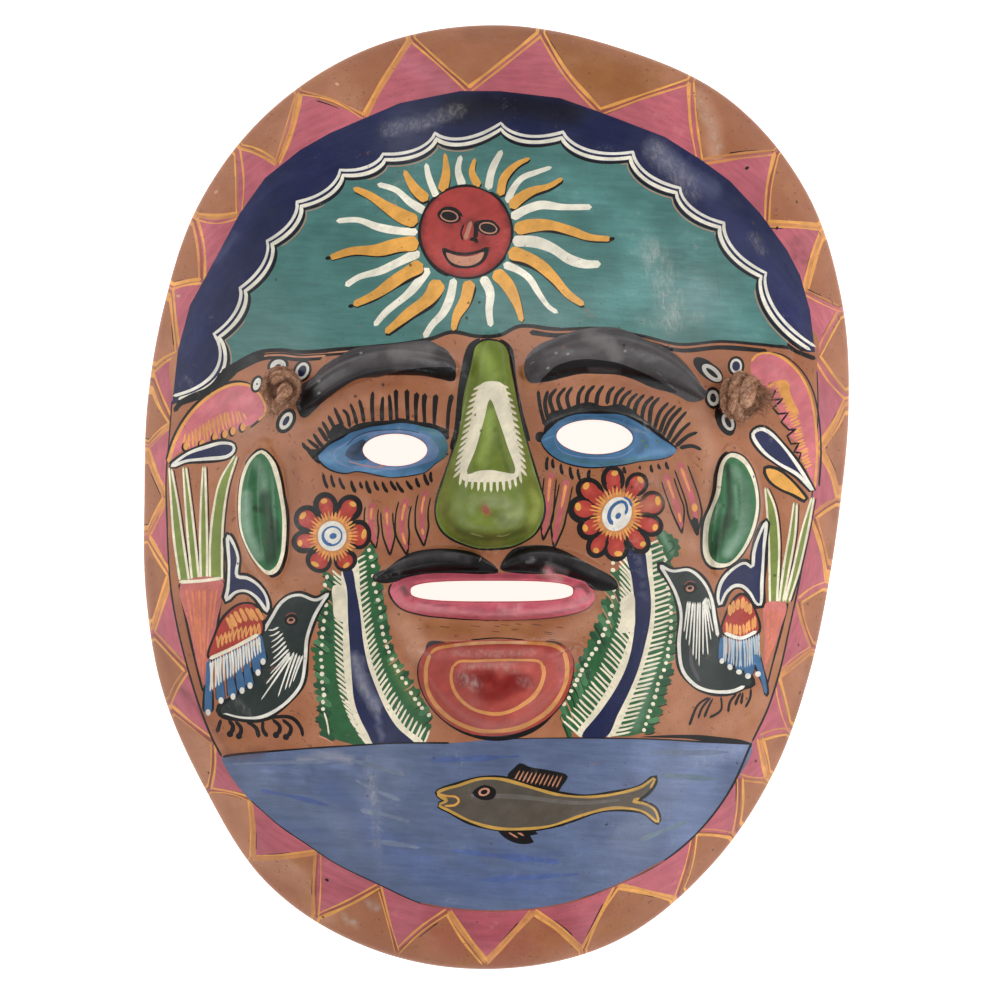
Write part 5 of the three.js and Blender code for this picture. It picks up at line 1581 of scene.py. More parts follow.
def paint_wear(paint):
    """Soft stains and worn places on the clay and the paint, a few chips, and painted light: painted shade
    under the brows and at the top of the navy band, and painted sheen and highlights on the navy, the teal,
    the water, the rim and the chin.
    """
    clay = "terracotta"
    for colour, points, width, strength, over in (
        ("clay_deep", px(430,626, 470,630, 530,628, 545,626), 16, 0.3, clay),
        ("clay_pale", px(398,618, 412,634, 418,648), 34, 0.95, clay),
        ("clay_pale", px(592,618, 570,634, 552,640), 30, 0.9, clay),
        ("clay_pale", px(385,665, 405,700, 425,725), 40, 0.4, clay),
        ("clay_pale", px(628,496, 640,484, 652,470), 26, 0.6, clay),
        ("clay_pale", px(672,428, 692,415, 704,410), 20, 0.7, clay),
        ("clay_pale", px(364,500, 370,530), 16, 0.7, clay),
        # A painted highlight with pale scuffing on the rim's top right.
        ("clay_pale", px(698,96, 712,125, 716,165), 26, 0.9, clay),
        ("clay_pale", px(262,852, 300,878, 330,910), 34, 0.8, clay),
        ("clay_pale", px(455,372, 452,385), 14, 0.4, clay),
        # Painted shade on the clay under the brows.
        ("clay_deep", px(300,420, 330,400, 360,388, 400,382), 16, 0.5, clay),
        ("clay_deep", px(540,388, 600,381, 650,392), 12, 0.45, clay),
        ("clay_pale", px(425,465, 440,462, 452,450), 14, 0.6, clay),
        ("clay_pale", px(700,425, 712,460, 706,500), 26, 0.5, clay),
        ("clay_pale", px(658,504, 668,525, 690,545), 30, 0.8, clay),
        ("clay_pale", px(530,480, 560,470, 590,480), 14, 0.35, clay),
        ("clay_deep", px(226,475, 225,520, 232,565), 14, 0.45, clay),
        ("clay_deep", px(292,455, 296,480, 294,510), 14, 0.45, clay),
        ("clay_deep", px(690,455, 694,490, 690,530), 12, 0.45, clay),
        ("clay_pale", px(284,600, 270,590, 262,580), 14, 0.3, clay),
        ("clay_pale", px(690,700, 670,725, 720,728, 760,700), 26, 0.35, clay),
        ("clay_deep", px(400,560, 380,550, 360,560), 10, 0.3, clay),
        ("clay_deep", px(470,34, 520,32, 600,55, 640,72), 30, 0.5, clay),
        ("clay_ochre", px(560,60, 600,80, 650,80), 60, 0.9, clay),
        ("clay_red", px(440,930, 490,950, 560,930), 60, 0.6, clay),
        ("pink_deep", px(440,925, 490,930, 560,925), 60, 0.8, "pink"),
        ("clay_deep", px(835,420, 838,480, 830,560), 16, 0.5, clay),
        ("clay_deep", px(820,640, 800,700, 780,745), 18, 0.5, clay),
        ("clay_deep", px(150,560, 160,640, 180,700), 12, 0.5, clay),
        ("clay_pale", px(240,180, 300,120, 350,90), 40, 0.35, clay),
        ("clay_pale", px(200,740, 240,800, 300,860), 30, 0.3, clay),
        ("dark_stain", px(226,752, 240,757, 262,752), 14, 0.5, None),
        ("dark_stain", px(182,690, 205,716, 222,742), 8, 0.45, None),
        ("dust", px(366,902, 376,908), 8, 0.7, None),
        ("dust", px(345,918, 356,924), 7, 0.7, None),
        ("dust", px(300,760, 330,756, 350,760), 12, 0.3, "water"),
        # Painted sheen on the right half of the teal sky.
        ("teal_light", px(610,300, 660,290, 720,310, 745,330), 60, 0.5, "teal"),
        ("teal_light", px(560,180, 620,220, 650,280), 50, 0.3, "teal"),
        ("teal_deep", px(300,260, 330,210, 400,165), 30, 0.4, "teal"),
        ("teal_deep", px(260,320, 300,335, 340,338), 14, 0.4, "teal"),
        # Painted sheen on the right of the water.
        ("water_light", px(650,760, 700,780, 690,830), 60, 0.5, "water"),
        ("water_light", px(690,752, 745,748), 30, 0.7, "water"),
        ("water_deep", px(330,790, 420,870, 560,890), 40, 0.4, "water"),
        ("water_grey", px(250,775, 290,800, 340,820), 40, 0.4, "water"),
        # The top of the navy band is darkened, as painted shade.
        ("navy_deep", px(455,108, 510,104, 570,112), 44, 1.0, "navy"),
        # Painted sheen on the navy band: at its top left, on its right and down both its sides.
        ("navy_sheen", px(392,128, 425,122, 452,112), 20, 0.15, "navy"),
        ("navy_sheen", px(655,150, 685,175, 710,190), 30, 0.4, "navy"),
        ("navy_side_sheen", px(700,190, 770,270, 800,320), 40, 0.4, "navy"),
        ("navy_side_sheen", px(260,190, 215,270, 190,350), 30, 0.3, "navy"),
        ("navy_sheen", px(215,260, 235,235), 12, 0.2, "navy"),
        # A painted highlight on the pink at the top of the rim.
        ("pink_light", px(400,60, 430,75, 445,85), 30, 0.35, "pink"),
        ("pink_light", px(825,400, 815,470), 16, 0.3, "pink"),
        ("pink_deep", px(290,880, 340,890, 380,900), 30, 0.3, "pink"),
        ("plume_light", px(205,410, 230,398, 250,400), 18, 0.35, "plume_pink"),
        ("plume_light", px(770,368, 795,390), 18, 0.35, "plume_pink"),
        ("sun_light", px(440,250, 450,262), 20, 0.3, "sun_red"),
    ):
        paint.soft(colour, points, width, strength, over)
    for colour, over, start, end, spread, count, reach, strength in (
        # Pale marks on the right of the teal sky, partly scuffs and partly painted sheen.
        ("teal_light", "teal", (20.5, 102.4), (65.8, 76.6), 30, 30, (14, 5), 0.25),
        ("teal_deep", "teal", (-66.7, 86.3), (-24.7, 99.2), 26, 26, (9, -8), 0.25),
        ("clay_ochre", "terracotta", (-23.1, -42.3), (17.3, -43), 6, 24, (16, 1), 0.4),
        ("clay_deep", "terracotta", (-63.5, 21.6), (-15, 33), 14, 20, (6, -2), 0.3),
        ("clay_pale", "terracotta", (65.8, 34.6), (70.6, -1), 14, 20, (4, 4), 0.3),
        ("clay_pale", "terracotta", (-47.3, 32), (-18.3, 29.7), 10, 20, (2, 7), 0.3),
        ("pink_deep", "pink", (-76.4, 118.6), (-18.3, 138), 24, 16, (6, 3), 0.25),
        ("dark_stain", "pink", (94.8, 83), (102.9, 71.7), 8, 10, (2, 3), 0.4),
        # Painted shade in the middle of the chin.
        ("chin_shade", "chin_red", (-8.6, -60.7), (9.5, -59.8), 7, 18, (5, 3), 0.5),
        ("water_light", "water", (-82.9, -89.8), (-31.2, -86.6), 10, 20, (16, 1), 0.25),
        ("water_deep", "water", (-70, -107.6), (46.4, -123.7), 24, 30, (18, 2), 0.3),
    ):
        for mark in scattered(paint, start, end, spread, count, reach, (0.5, 1.3)):
            paint.soft(colour, mark, paint.random.uniform(5, 10), strength, over)
    # Pale scuffed places: partly real scuffs, and partly painted sheen and reflections on the teal, the
    # navy, the fern stem, the water and the rim
    for points, width, strength, over in (
        (px(652,252, 664,280, 672,318), 40, 0.8, "teal"), (px(640,320, 670,322, 700,316), 16, 0.35, "teal"),
        (px(400,180, 392,200), 16, 0.4, "teal"), (px(655,150, 672,168, 690,190), 34, 0.45, "navy"),
        (px(388,130, 425,122, 458,110), 20, 0.5, "navy"), (px(752,236, 762,252), 12, 0.5, "navy"),
        (px(368,762, 374,800, 378,850), 12, 0.6, "water"), (px(700,104, 712,128, 718,150), 12, 0.8, None),
        (px(356,660, 364,690, 376,712), 14, 0.6, "navy"), (px(700,760, 740,750), 24, 0.4, "water"),
        (px(640,485, 656,480, 668,500), 16, 0.4, None), (px(205,120, 240,90), 20, 0.3, None),
        (px(236,700, 250,712), 10, 0.4, None), (px(575,820, 610,812), 12, 0.4, "fish"),
    ):
        paint.soft("worn", points, width, strength, over)
    # Fine dark scratches in the clay
    for start, end, spread, count, reach in (
        ((-24.7, -42.3), (20.5, -43.6), 7, 16, (9, 1)), ((62.5, 16.8), (70.6, 2.3), 8, 8, (3, 3)),
        ((-68.3, 18.4), (-60.3, -1), 12, 8, (2, 4)), ((15.7, 3.9), (33.4, 8.7), 8, 6, (4, 1)),
        ((-37.6, -62.4), (-24.7, -75.3), 12, 5, (3, 4)), ((104.5, 89.5), (114.2, 37.8), 9, 7, (2, 5)),
    ):
        for mark in scattered(paint, start, end, spread, count, reach, (0.6, 1.4)):
            paint.stroke("dark_stain", mark, 0.42, (0.5, 0.5))
    for x, y, size, shade in ((747, 168, 2.4, "black"), (777, 228, 2, "black"), (327, 880, 2.2, "black"),
                              (216, 192, 2.4, "clay_pale"), (178, 296, 2.2, "clay_pale"),
                              (337, 84, 2.2, "clay_pale"), (395, 205, 1.6, "clay_pale")):
        paint.blob(shade, on_photo(x, y), (dab(size), dab(size * 0.7)), x)
    paint.stroke("teal_deep", px(714,230, 716,262, 720,300), 0.39, (0.4, 0.4))


def linear(colour):
    """The linear red, green and blue of an sRGB colour written as a whole number."""
    channels = np.array([(colour >> shift) & 255 for shift in (16, 8, 0)]) / 255
    return np.where(channels <= 0.04045, channels / 12.92, ((channels + 0.055) / 1.055) ** 2.4)


def painted():
    """The whole painting, from the field up."""
    paint = Painting(seed=7)
    for step in (paint_border, paint_sky, paint_sun, paint_temples, paint_ferns, paint_water,
                 paint_chin, paint_ears, paint_eyes, paint_flowers, paint_birds, paint_brows,
                 paint_mouth, paint_nose, paint_fish, paint_wear):
        step(paint)
    return paint


# The rim from the front to the back: how far in from the widest outline, and the height
RIM_SECTION = [(0.55, 4.1), (0.14, 3.3), (0.0, 2.4), (0.0, 1.0), (0.25, 0.3), (0.9, 0.0), (2.6, 0.0),
               (4.5, 0.0), (6.3, 0.0), (7.5, 0.02), (8.3, 0.35)]
# An opening's wall from the front to the back: how far the outline has grown, how far down from
# the front, and how far up from the back
LIP_SECTION = [(0.36, 0.22, 0), (0.1, 0.55, 0), (0.0, 1.1, 0), (0.0, 0, 1.1), (0.1, 0, 0.55),
               (0.36, 0, 0.22)]


def outward_in_plan(chain):
    """The unit vector in plan that points away from the clay, at each point of a boundary."""
    ahead = np.roll(chain, -1, axis=0) - np.roll(chain, 1, axis=0)
    ahead /= np.hypot(*ahead.T)[:, None]
    return np.stack([ahead[:, 1], -ahead[:, 0]], 1)


def clay_walls(name, chain, top):
    """The rings of points from one front boundary to the back, as (x, y, z). Each ring has a point
    for every point of the chain. The rim's section is carried round it, an opening's section is
    carried round its lip, and a twine hole runs square to the clay."""
    if name == "rim":
        angle = np.arctan2(chain[:, 1], chain[:, 0])
        ragged = 0.5 + 0.5 * np.sin(angle * 9 + 2 * np.sin(angle * 4))
        way = np.stack([np.cos(angle), np.sin(angle)], 1)
        rings = []
        for inset, height in RIM_SECTION:
            plan = way * (rim_radius(angle) - inset)[:, None]
            lift = ragged * 0.25 * (height == 0.0) * (0.9 < inset < 6)
            rings.append(np.column_stack([plan, np.full(len(plan), height) + lift]))
        plan = way * (rim_radius(angle) - RIM_WIDTH - BACK_INSET)[:, None]
        return rings, plan
    if name.startswith("twine"):
        centre = np.array(TWINE_HOLES[name[6:]])
        outward = on_shell(centre)[1]
        lean = -outward[:2] / outward[2]
        way = (chain - centre) / np.hypot(*(chain - centre).T)[:, None]
        depth = top.mean() - back_height(*(centre + lean * WALL)[:, None])[0]
        plan = centre + lean * depth + way * (TWINE_HOLE_RADIUS + 0.4)
        low = back_height(*plan.T)
        rings = []
        for grown, down, up in LIP_SECTION:
            share = 0.12 if down else 0.88
            x, y = ((centre + lean * depth * share) + way * (TWINE_HOLE_RADIUS + grown / 2)).T
            rings.append(np.column_stack([x, y, top - down if down else low + up]))
        return rings, plan
    side = -outward_in_plan(chain)
    plan = chain
    low = back_height(*plan.T)
    rings = []
    for grown, down, up in LIP_SECTION:
        x, y = (chain - side * (LIP - grown)).T
        rings.append(np.column_stack([x, y, top - down if down else low + up]))
    return rings, plan


def clay_mesh(paint):
    """Points, triangles, and for each triangle its colour number (-1 for bare clay) and its kind
    of surface, of the whole shell."""
    loops = {"rim": rim_loop(FRONT_INSET)}
    for name, count in (("eye_left", 60), ("eye_right", 64), ("mouth", 110)):
        loops[name] = opening_loop(name, LIP, count)
    for side, centre in TWINE_HOLES.items():
        loops["twine_" + side] = round_loop(centre, TWINE_HOLE_RADIUS + 0.4, 28)
    outer = list(loops.values())
    plan, faces = triangulate(outer, paint.outlines, spread_points(outer, paint.outlines))
    front = np.column_stack([plan, front_height(*plan.T)])
    middles = plan[faces].mean(1)
    shape = np.full(len(faces), -1)
    for number, outline in enumerate(paint.outlines):
        shape[inside(middles, outline)] = number
    points, triangles, shapes = [front], [faces], [shape]
    total = len(front)
    back_loops = {}
    edges = np.concatenate([faces[:, [0, 1]], faces[:, [1, 2]], faces[:, [2, 0]]])
    codes = edges[:, 0] * len(front) + edges[:, 1]
    order = np.argsort(codes)
    for name, loop in loops.items():
        chain = boundary_chain(plan, faces, loop)
        # Points that all but touch go down the wall as one
        spots = plan[chain]
        close = np.hypot(*(spots - np.roll(spots, 1, axis=0)).T) < 0.05
        spots[close] = np.roll(spots, 1, axis=0)[close]
        rings, back = clay_walls(name, spots, front_height(*spots.T))
        back_loops[name] = back
        rings.append(np.column_stack([back, back_height(*back.T)]))
        count = len(chain)
        numbers = [chain] + [total + k * count + np.arange(count) for k in range(len(rings))]
        points += rings
        total += count * len(rings)
        beside = np.searchsorted(codes[order], chain * len(front) + np.roll(chain, -1))
        colours = shape[order[beside] % len(faces)]
        for depth, (near, far) in enumerate(zip(numbers[:-1], numbers[1:])):
            a, b, c, d = near, np.roll(near, -1), np.roll(far, -1), far
            triangles += [np.stack([b, a, d], 1), np.stack([b, d, c], 1)]
            painted_so_far = depth < (3 if name == "rim" else 2)
            shapes += [colours if painted_so_far else np.full(count, -2)] * 2
    free = lattice(BACK_LATTICE)
    keep = inside(free, rim_loop(RIM_WIDTH + BACK_INSET + 1.2))
    for name, loop in back_loops.items():
        if name != "rim":
            middle = loop.mean(0)
            keep &= ~inside(free, (loop - middle) * 1.25 + middle)
    plan, faces = triangulate(list(back_loops.values()), [], free[keep])
    points.append(np.column_stack([plan, back_height(*plan.T)]))
    triangles.append(faces[:, ::-1] + total)
    shapes.append(np.full(len(faces), -3))
    # Behind the front, points at one place are made one point
    behind = np.concatenate(points[1:])
    _, first, same = np.unique(np.round(behind, 6), axis=0, return_index=True, return_inverse=True)
    numbers = np.concatenate([np.arange(len(front)), len(front) + same.reshape(-1)])
    points = np.concatenate([front, behind[first]])
    triangles, shapes = numbers[np.concatenate(triangles)], np.concatenate(shapes)
    whole = (triangles != np.roll(triangles, 1, axis=1)).all(1)
    return points, triangles[whole], shapes[whole], np.arange(len(points)) < len(front)


def new_mesh(name, points, faces):
    """A mesh object of the points, in millimetres, and the faces."""
    mesh = bpy.data.meshes.new(name)
    faces = faces if isinstance(faces, list) else faces.tolist()
    mesh.from_pydata((np.asarray(points) * MM).tolist(), [], faces)
    mesh.polygons.foreach_set("use_smooth", np.ones(len(mesh.polygons), bool))
    mesh.update()
    piece = bpy.data.objects.new(name, mesh)
    bpy.context.scene.collection.objects.link(piece)
    return piece


def set_attribute(mesh, name, kind, values, channel="value", domain="CORNER"):
    """One value for each corner or point of the mesh."""
    attribute = mesh.attributes.new(name, kind, domain)
    attribute.data.foreach_set(channel, np.asarray(values, np.float32).ravel())


def soften(paint, names, table, number, place, colour):
    """The colours at the corners with the soft strokes mixed in, and how much of the worn colour each
    corner has: scuffs, and painted sheen and glints on the varnish. Each stroke's share falls from its full
    strength on its line to nothing at half its width."""
    worn = np.zeros(len(place))
    for name, line, reach, strength, over in paint.softs:
        low, high = line.min(0) - reach, line.max(0) + reach
        near = ((place > low) & (place < high)).all(1)
        if over:
            near &= np.isin(number, [names.index(paint_name) for paint_name in over])
        near = np.flatnonzero(near)
        gap = np.sqrt(((place[near][:, None] - line) ** 2).sum(2).min(1)) / reach
        share = strength * np.clip(1 - gap**2, 0, 1)[:, None] ** 1.5
        if name == "worn":
            worn[near] = np.maximum(worn[near], share[:, 0])
        else:
            colour[near] = colour[near] * (1 - share) + table[names.index(name)] * share
    return colour, worn


def brush_places(flows, x, y, seeds):
    """Where each corner lies along and across the brush strokes of its shape, and the shape's own
    number: level strokes run along x, round ones round the rim, and free ones on a slant."""
    angle, radius = np.arctan2(y, x), np.hypot(x, y)
    places = {
        "level": (x, y + 0.06 * x),
        "round": (angle * 120, radius),
        "free": (x * 1.6 + y * 1.2, y * 0.4 - x * 0.3),
    }
    along_it = np.select([flows == name for name in places], [p[0] for p in places.values()], 0)
    across_it = np.select([flows == name for name in places], [p[1] for p in places.values()], 0)
    return np.stack([along_it * 0.22, across_it * 1.5, seeds * 9.0], 1) * MM


def make_mask():
    """The clay shell with the painting on its front."""
    paint = painted()
    points, triangles, shapes, is_front = clay_mesh(paint)
    if len(triangles) > MOST_TRIANGLES:
        raise ValueError(f"The mask has {len(triangles)} triangles, more than a piece may have.")
    piece = new_mesh("painted_mask", points, triangles)
    mesh = piece.data
    names = list(PALETTE)
    base = names.index("terracotta")
    shape_colour = np.array([names.index(c) for c in paint.colours] + [base] * 3)
    tones = np.array(paint.tones + [0, 0, 0])
    flows = np.array(paint.flows + ["free"] * 3)
    table = np.array([linear(PALETTE[name]) for name in names])
    number = shape_colour[shapes]
    colour = table[number] * (1 + 0.05 * tones[shapes])[:, None]
    bare = np.select([shapes == -3, shapes == -2, number == base], [1.0, 0.8, 0.5], 0.0)
    corners = np.repeat(np.arange(len(triangles)), 3)
    spot = points[triangles.ravel()]
    front = np.flatnonzero(shapes[corners] >= -1)
    colour = colour[corners]
    worn = np.zeros(len(corners))
    colour[front], worn[front] = soften(
        paint, names, table, number[corners][front], spot[front, :2], colour[front]
    )
    set_attribute(mesh, "Paint", "FLOAT_COLOR", np.column_stack([colour, np.ones(len(colour))]), "color")
    set_attribute(mesh, "Bare", "FLOAT", bare[corners])
    set_attribute(mesh, "ScuffAndSheen", "FLOAT", worn)
    places = brush_places(flows[shapes][corners], spot[:, 0], spot[:, 1], tones[shapes][corners])
    set_attribute(mesh, "Brush", "FLOAT_VECTOR", places, "vector")
    normals = np.zeros(len(points) * 3, np.float32)
    mesh.vertex_normals.foreach_get("vector", normals)
    normals = normals.reshape(-1, 3)
    normals[is_front] = up_from(front_height, *points[is_front, :2].T)
    mesh.normals_split_custom_set_from_vertices(normals.tolist())
    lay_out(mesh, points, triangles, shapes)
    return piece


def lay_out(mesh, points, triangles, shapes):
    """The UV map named OFBake. The front is seen square from above, and the back and the walls are squeezed
    into a strip beside it."""
    uv = mesh.uv_layers.new(name="OFBake")
    spot = points[triangles.ravel()]
    behind = np.repeat(shapes <= -2, 3)
    front = np.column_stack([spot[:, 0] / 306 + 0.3735, spot[:, 1] / 306 + 0.5])
    back = np.column_stack([0.875 - spot[:, 0] / 306 * 0.32, spot[:, 1] / 306 + 0.5])
    uv.data.foreach_set("uv", np.where(behind[:, None], back, front).astype(np.float32).ravel())


class Looks:
    """A node material being built. Each call adds a node and returns its output."""

    def __init__(self, name):
        self.material = bpy.data.materials.new(name)
        self.material.use_nodes = True
        self.tree = self.material.node_tree
        self.tree.nodes.clear()
        self.shader = self.add("ShaderNodeBsdfPrincipled")
        output = self.add("ShaderNodeOutputMaterial")
        self.tree.links.new(self.shader.outputs[0], output.inputs[0])

    def add(self, kind, **settings):
        node = self.tree.nodes.new(kind)
        for key, value in settings.items():
            setattr(node, key, value)
        return node

    def join(self, source, socket):
        if hasattr(source, "is_linked"):
            self.tree.links.new(source, socket)
        else:
            socket.default_value = source

    def place(self):
        return self.add("ShaderNodeTexCoord").outputs["Object"]

    def attribute(self, name, output="Fac"):
        return self.add("ShaderNodeAttribute", attribute_name=name).outputs[output]

    def noise(self, place, scale, detail=2.0, rough=0.5, warp=0.0):
        node = self.add("ShaderNodeTexNoise")
        self.join(place, node.inputs["Vector"])
        node.inputs["Scale"].default_value = scale
        node.inputs["Detail"].default_value = detail
        node.inputs["Roughness"].default_value = rough
        node.inputs["Distortion"].default_value = warp
        return node.outputs["Fac"]

    def cells(self, place, scale, feature="F1"):
        node = self.add("ShaderNodeTexVoronoi", feature=feature)
        self.join(place, node.inputs["Vector"])
        node.inputs["Scale"].default_value = scale
        return node.outputs["Distance"]

    def stretched(self, place, scale, turn=(0, 0, 0)):
        node = self.add("ShaderNodeMapping")
        self.join(place, node.inputs["Vector"])
        node.inputs["Scale"].default_value = scale
        node.inputs["Rotation"].default_value = turn
        return node.outputs[0]

    def ramp(self, value, low, high, to_low=0.0, to_high=1.0):
        node = self.add("ShaderNodeMapRange", interpolation_type="SMOOTHSTEP")
        self.join(value, node.inputs["Value"])
        ends = {"From Min": low, "From Max": high, "To Min": to_low, "To Max": to_high}
        for socket, amount in ends.items():
            node.inputs[socket].default_value = amount
        return node.outputs[0]

    def sum(self, operation, a, b=0.0):
        node = self.add("ShaderNodeMath", operation=operation)
        self.join(a, node.inputs[0])
        self.join(b, node.inputs[1])
        return node.outputs[0]

    def grey(self, value):
        """A grey colour from a number."""
        node = self.add("ShaderNodeCombineColor")
        for socket in node.inputs:
            self.join(value, socket)
        return node.outputs[0]

    def mix(self, share, a, b, blend="MIX"):
        node = self.add("ShaderNodeMix", data_type="RGBA", blend_type=blend)
        self.join(share, node.inputs[0])
        self.join(a, node.inputs[6])
        self.join(b, node.inputs[7])
        return node.outputs[2]

    def set(self, **sockets):
        for name, source in sockets.items():
            self.join(source, self.shader.inputs[name.replace("_", " ")])

    def bump(self, height, distance, strength=1.0, under=None):
        node = self.add("ShaderNodeBump")
        self.join(height, node.inputs["Height"])
        node.inputs["Distance"].default_value = distance
        node.inputs["Strength"].default_value = strength
        if under is not None:
            self.join(under, node.inputs["Normal"])
        return node.outputs[0]


def rgb(colour, share=1.0):
    """A node colour from an sRGB whole number."""
    return tuple(linear(colour) * share) + (1.0,)


def painted_clay(look):
    """Paint over terracotta under a satin varnish, with bare clay behind."""
    made = Looks("painted_terracotta")
    place = made.place()
    paint = made.attribute("Paint", "Color")
    bare = made.attribute("Bare")
    brush = made.attribute("Brush", "Vector")
    on_back = made.ramp(bare, 0.6, 0.75)
    not_back = made.sum("SUBTRACT", 1.0, on_back)
    on_clay = made.sum("MULTIPLY", made.ramp(bare, 0.3, 0.45), not_back)
    # Paint: streaks along the brush, broad changes in its thickness, and clay where it is worn
    streak = made.noise(brush, 420, 3, 0.6)
    broad = made.noise(place, 22, 3, 0.55)
    grain = made.noise(place, 900, 2, 0.6)
    tone = made.ramp(streak, 0.3, 0.72, 0.88, 1.1)
    tone = made.sum("MULTIPLY", tone, made.ramp(broad, 0.3, 0.7, 0.88, 1.12))
    tone = made.sum("MULTIPLY", tone, made.ramp(made.noise(place, 75, 4, 0.65), 0.35, 0.7, 0.92, 1.08))
    painted_colour = made.mix(1.0, paint, made.grey(tone), "MULTIPLY")
    worn = made.ramp(made.noise(place, 160, 4, 0.65), 0.65, 0.74)
    thin = made.sum("MULTIPLY", worn, made.ramp(broad, 0.5, 0.7))
    painted_colour = made.mix(made.sum("MULTIPLY", thin, 0.5), painted_colour, rgb(0xA5694A))
    # Clay: the painted colour with redder, paler and ochre patches, dark flecks and fine grain
    patch = made.noise(place, 30, 5, 0.65)
    clay = made.mix(made.ramp(patch, 0.36, 0.62, 0.5, 0.0), paint, rgb(0x8C5034))
    clay = made.mix(made.ramp(patch, 0.5, 0.75, 0.0, 0.5), clay, rgb(0xBE8468))
    clay = made.mix(made.ramp(made.noise(place, 95, 4, 0.65), 0.48, 0.72, 0.0, 0.55), clay, rgb(0xA06838))
    flecks = made.ramp(made.noise(place, 480, 3, 0.75), 0.61, 0.7)
    clay = made.mix(made.sum("MULTIPLY", flecks, 0.65), clay, rgb(0x5A3020))
    back = made.mix(made.ramp(made.noise(place, 26, 4, 0.6), 0.35, 0.65), rgb(0xB06A45), rgb(0xC58A64))
    back = made.mix(made.ramp(made.noise(place, 300, 4, 0.7), 0.5, 0.8, 0.0, 0.6), back, rgb(0x8E5236))
    colour = made.mix(on_clay, painted_colour, clay)
    colour = made.mix(on_back, colour, back)
    # Dirt in scattered pits and smudges, and pale dust in patches
    pits = made.ramp(made.cells(place, 150), 0.05, 0.1, 1.0, 0.0)
    pits = made.sum("MULTIPLY", pits, made.ramp(made.noise(place, 55, 2, 0.5), 0.54, 0.6))
    colour = made.mix(made.sum("MULTIPLY", pits, 0.75), colour, rgb(0x35241C))
    dust = made.ramp(made.noise(place, 75, 6, 0.8), 0.6, 0.78)
    dust = made.sum("MULTIPLY", dust, not_back)
    colour = made.mix(made.sum("MULTIPLY", dust, 0.2), colour, rgb(0xDCD4CC))
    # Short pale scratches that slant, where the painting is worn and where painted sheen and glints lie on
    # the varnish, and fine dark specks
    slant = made.stretched(place, (1.0, 0.45, 1.0), (0, 0, 0.6))
    scuff = made.ramp(made.noise(slant, 520, 6, 0.75, 0.8), 0.42, 0.68, 0.12, 0.9)
    scuff = made.sum("MULTIPLY", scuff, made.attribute("ScuffAndSheen"))
    colour = made.mix(made.sum("MULTIPLY", scuff, 0.6), colour, rgb(0xC9C3BC))
    specks = made.ramp(made.noise(place, 1100, 2, 0.6), 0.66, 0.7)
    specks = made.sum("MULTIPLY", specks, made.ramp(broad, 0.42, 0.6, 0.0, 0.5))
    colour = made.mix(specks, colour, rgb(0x4A2E24))
    rough = made.ramp(made.noise(place, 60, 5, 0.65), 0.35, 0.7, look.varnish_roughness - 0.08,
                      look.varnish_roughness + 0.14)
    rough = made.sum("ADD", rough, made.sum("MULTIPLY", on_back, 0.42))
    made.set(Base_Color=colour, Roughness=rough, Coat_Weight=made.sum("MULTIPLY", not_back, 0.1))
    made.shader.inputs["IOR"].default_value = 1.36
    made.shader.inputs["Coat Roughness"].default_value = 0.2
    height = made.sum("ADD", made.sum("MULTIPLY", streak, 0.4), made.sum("MULTIPLY", grain, 0.22))
    height = made.sum("SUBTRACT", height, made.sum("MULTIPLY", pits, 2.0))
    coarse = made.sum("MULTIPLY", made.noise(place, 240, 5, 0.65), made.sum("ADD", 0.3, on_back))
    height = made.sum("ADD", height, made.sum("MULTIPLY", coarse, 2.0))
    wide = made.bump(made.noise(place, 90, 3, 0.5), 0.0006, 0.6)
    made.set(Normal=made.bump(height, 0.00022, 0.8, wide))
    return made.material


def jute():
    """Twisted jute: fibres along the yarn, tan where they are worn, with painted shade between the strands
    and inside the knots.
    """
    made = Looks("jute")
    place = made.place()
    turn = made.attribute("Fibre", "Vector")
    hollow = made.attribute("StrandShade")
    fibre = made.noise(turn, 1.1, 4, 0.75)
    patch = made.noise(place, 150, 3, 0.6)
    tuft = made.noise(place, 900, 3, 0.7)
    colour = made.mix(made.ramp(fibre, 0.32, 0.64), rgb(0x8C5846), rgb(0xD6A280))
    colour = made.mix(made.ramp(patch, 0.42, 0.68, 0.0, 0.6), colour, rgb(0x9A5E48))
    colour = made.mix(made.ramp(tuft, 0.48, 0.7, 0.0, 0.75), colour, rgb(0xE2C4A8))
    colour = made.mix(made.ramp(tuft, 0.3, 0.44, 0.6, 0.0), colour, rgb(0x5E3828))
    # Painted shade between the strands and deep in the knots.
    colour = made.mix(made.sum("MULTIPLY", hollow, 0.8), colour, rgb(0x361E16))
    height = made.sum("ADD", fibre, made.sum("MULTIPLY", tuft, 0.6))
    made.set(Base_Color=colour, Roughness=0.92, Normal=made.bump(height, 0.0009, 1.0))
    made.shader.inputs["IOR"].default_value = 1.15
    return made.material


YARNS = 3
LAY_LENGTH = 11.0  # how far along the twine a yarn goes in one turn


def unit(vectors):
    """The vectors at a length of one."""
    return vectors / np.linalg.norm(vectors, axis=-1, keepdims=True)


def smooth_route(points, count):
    """A smooth curve through points in space, at even steps along it."""
    points = np.array(points, float)
    run = np.concatenate([[2 * points[0] - points[1]], points, [2 * points[-1] - points[-2]]])
    curve = cubics(run, np.linalg.norm(np.diff(run, axis=0), axis=1), 24)
    curve = np.concatenate([curve, points[-1:]])
    walked = np.concatenate([[0], np.cumsum(np.linalg.norm(np.diff(curve, axis=0), axis=1))])
    at = np.linspace(0, walked[-1], count)
    return np.stack([np.interp(at, walked, curve[:, k]) for k in range(3)], 1), walked[-1]


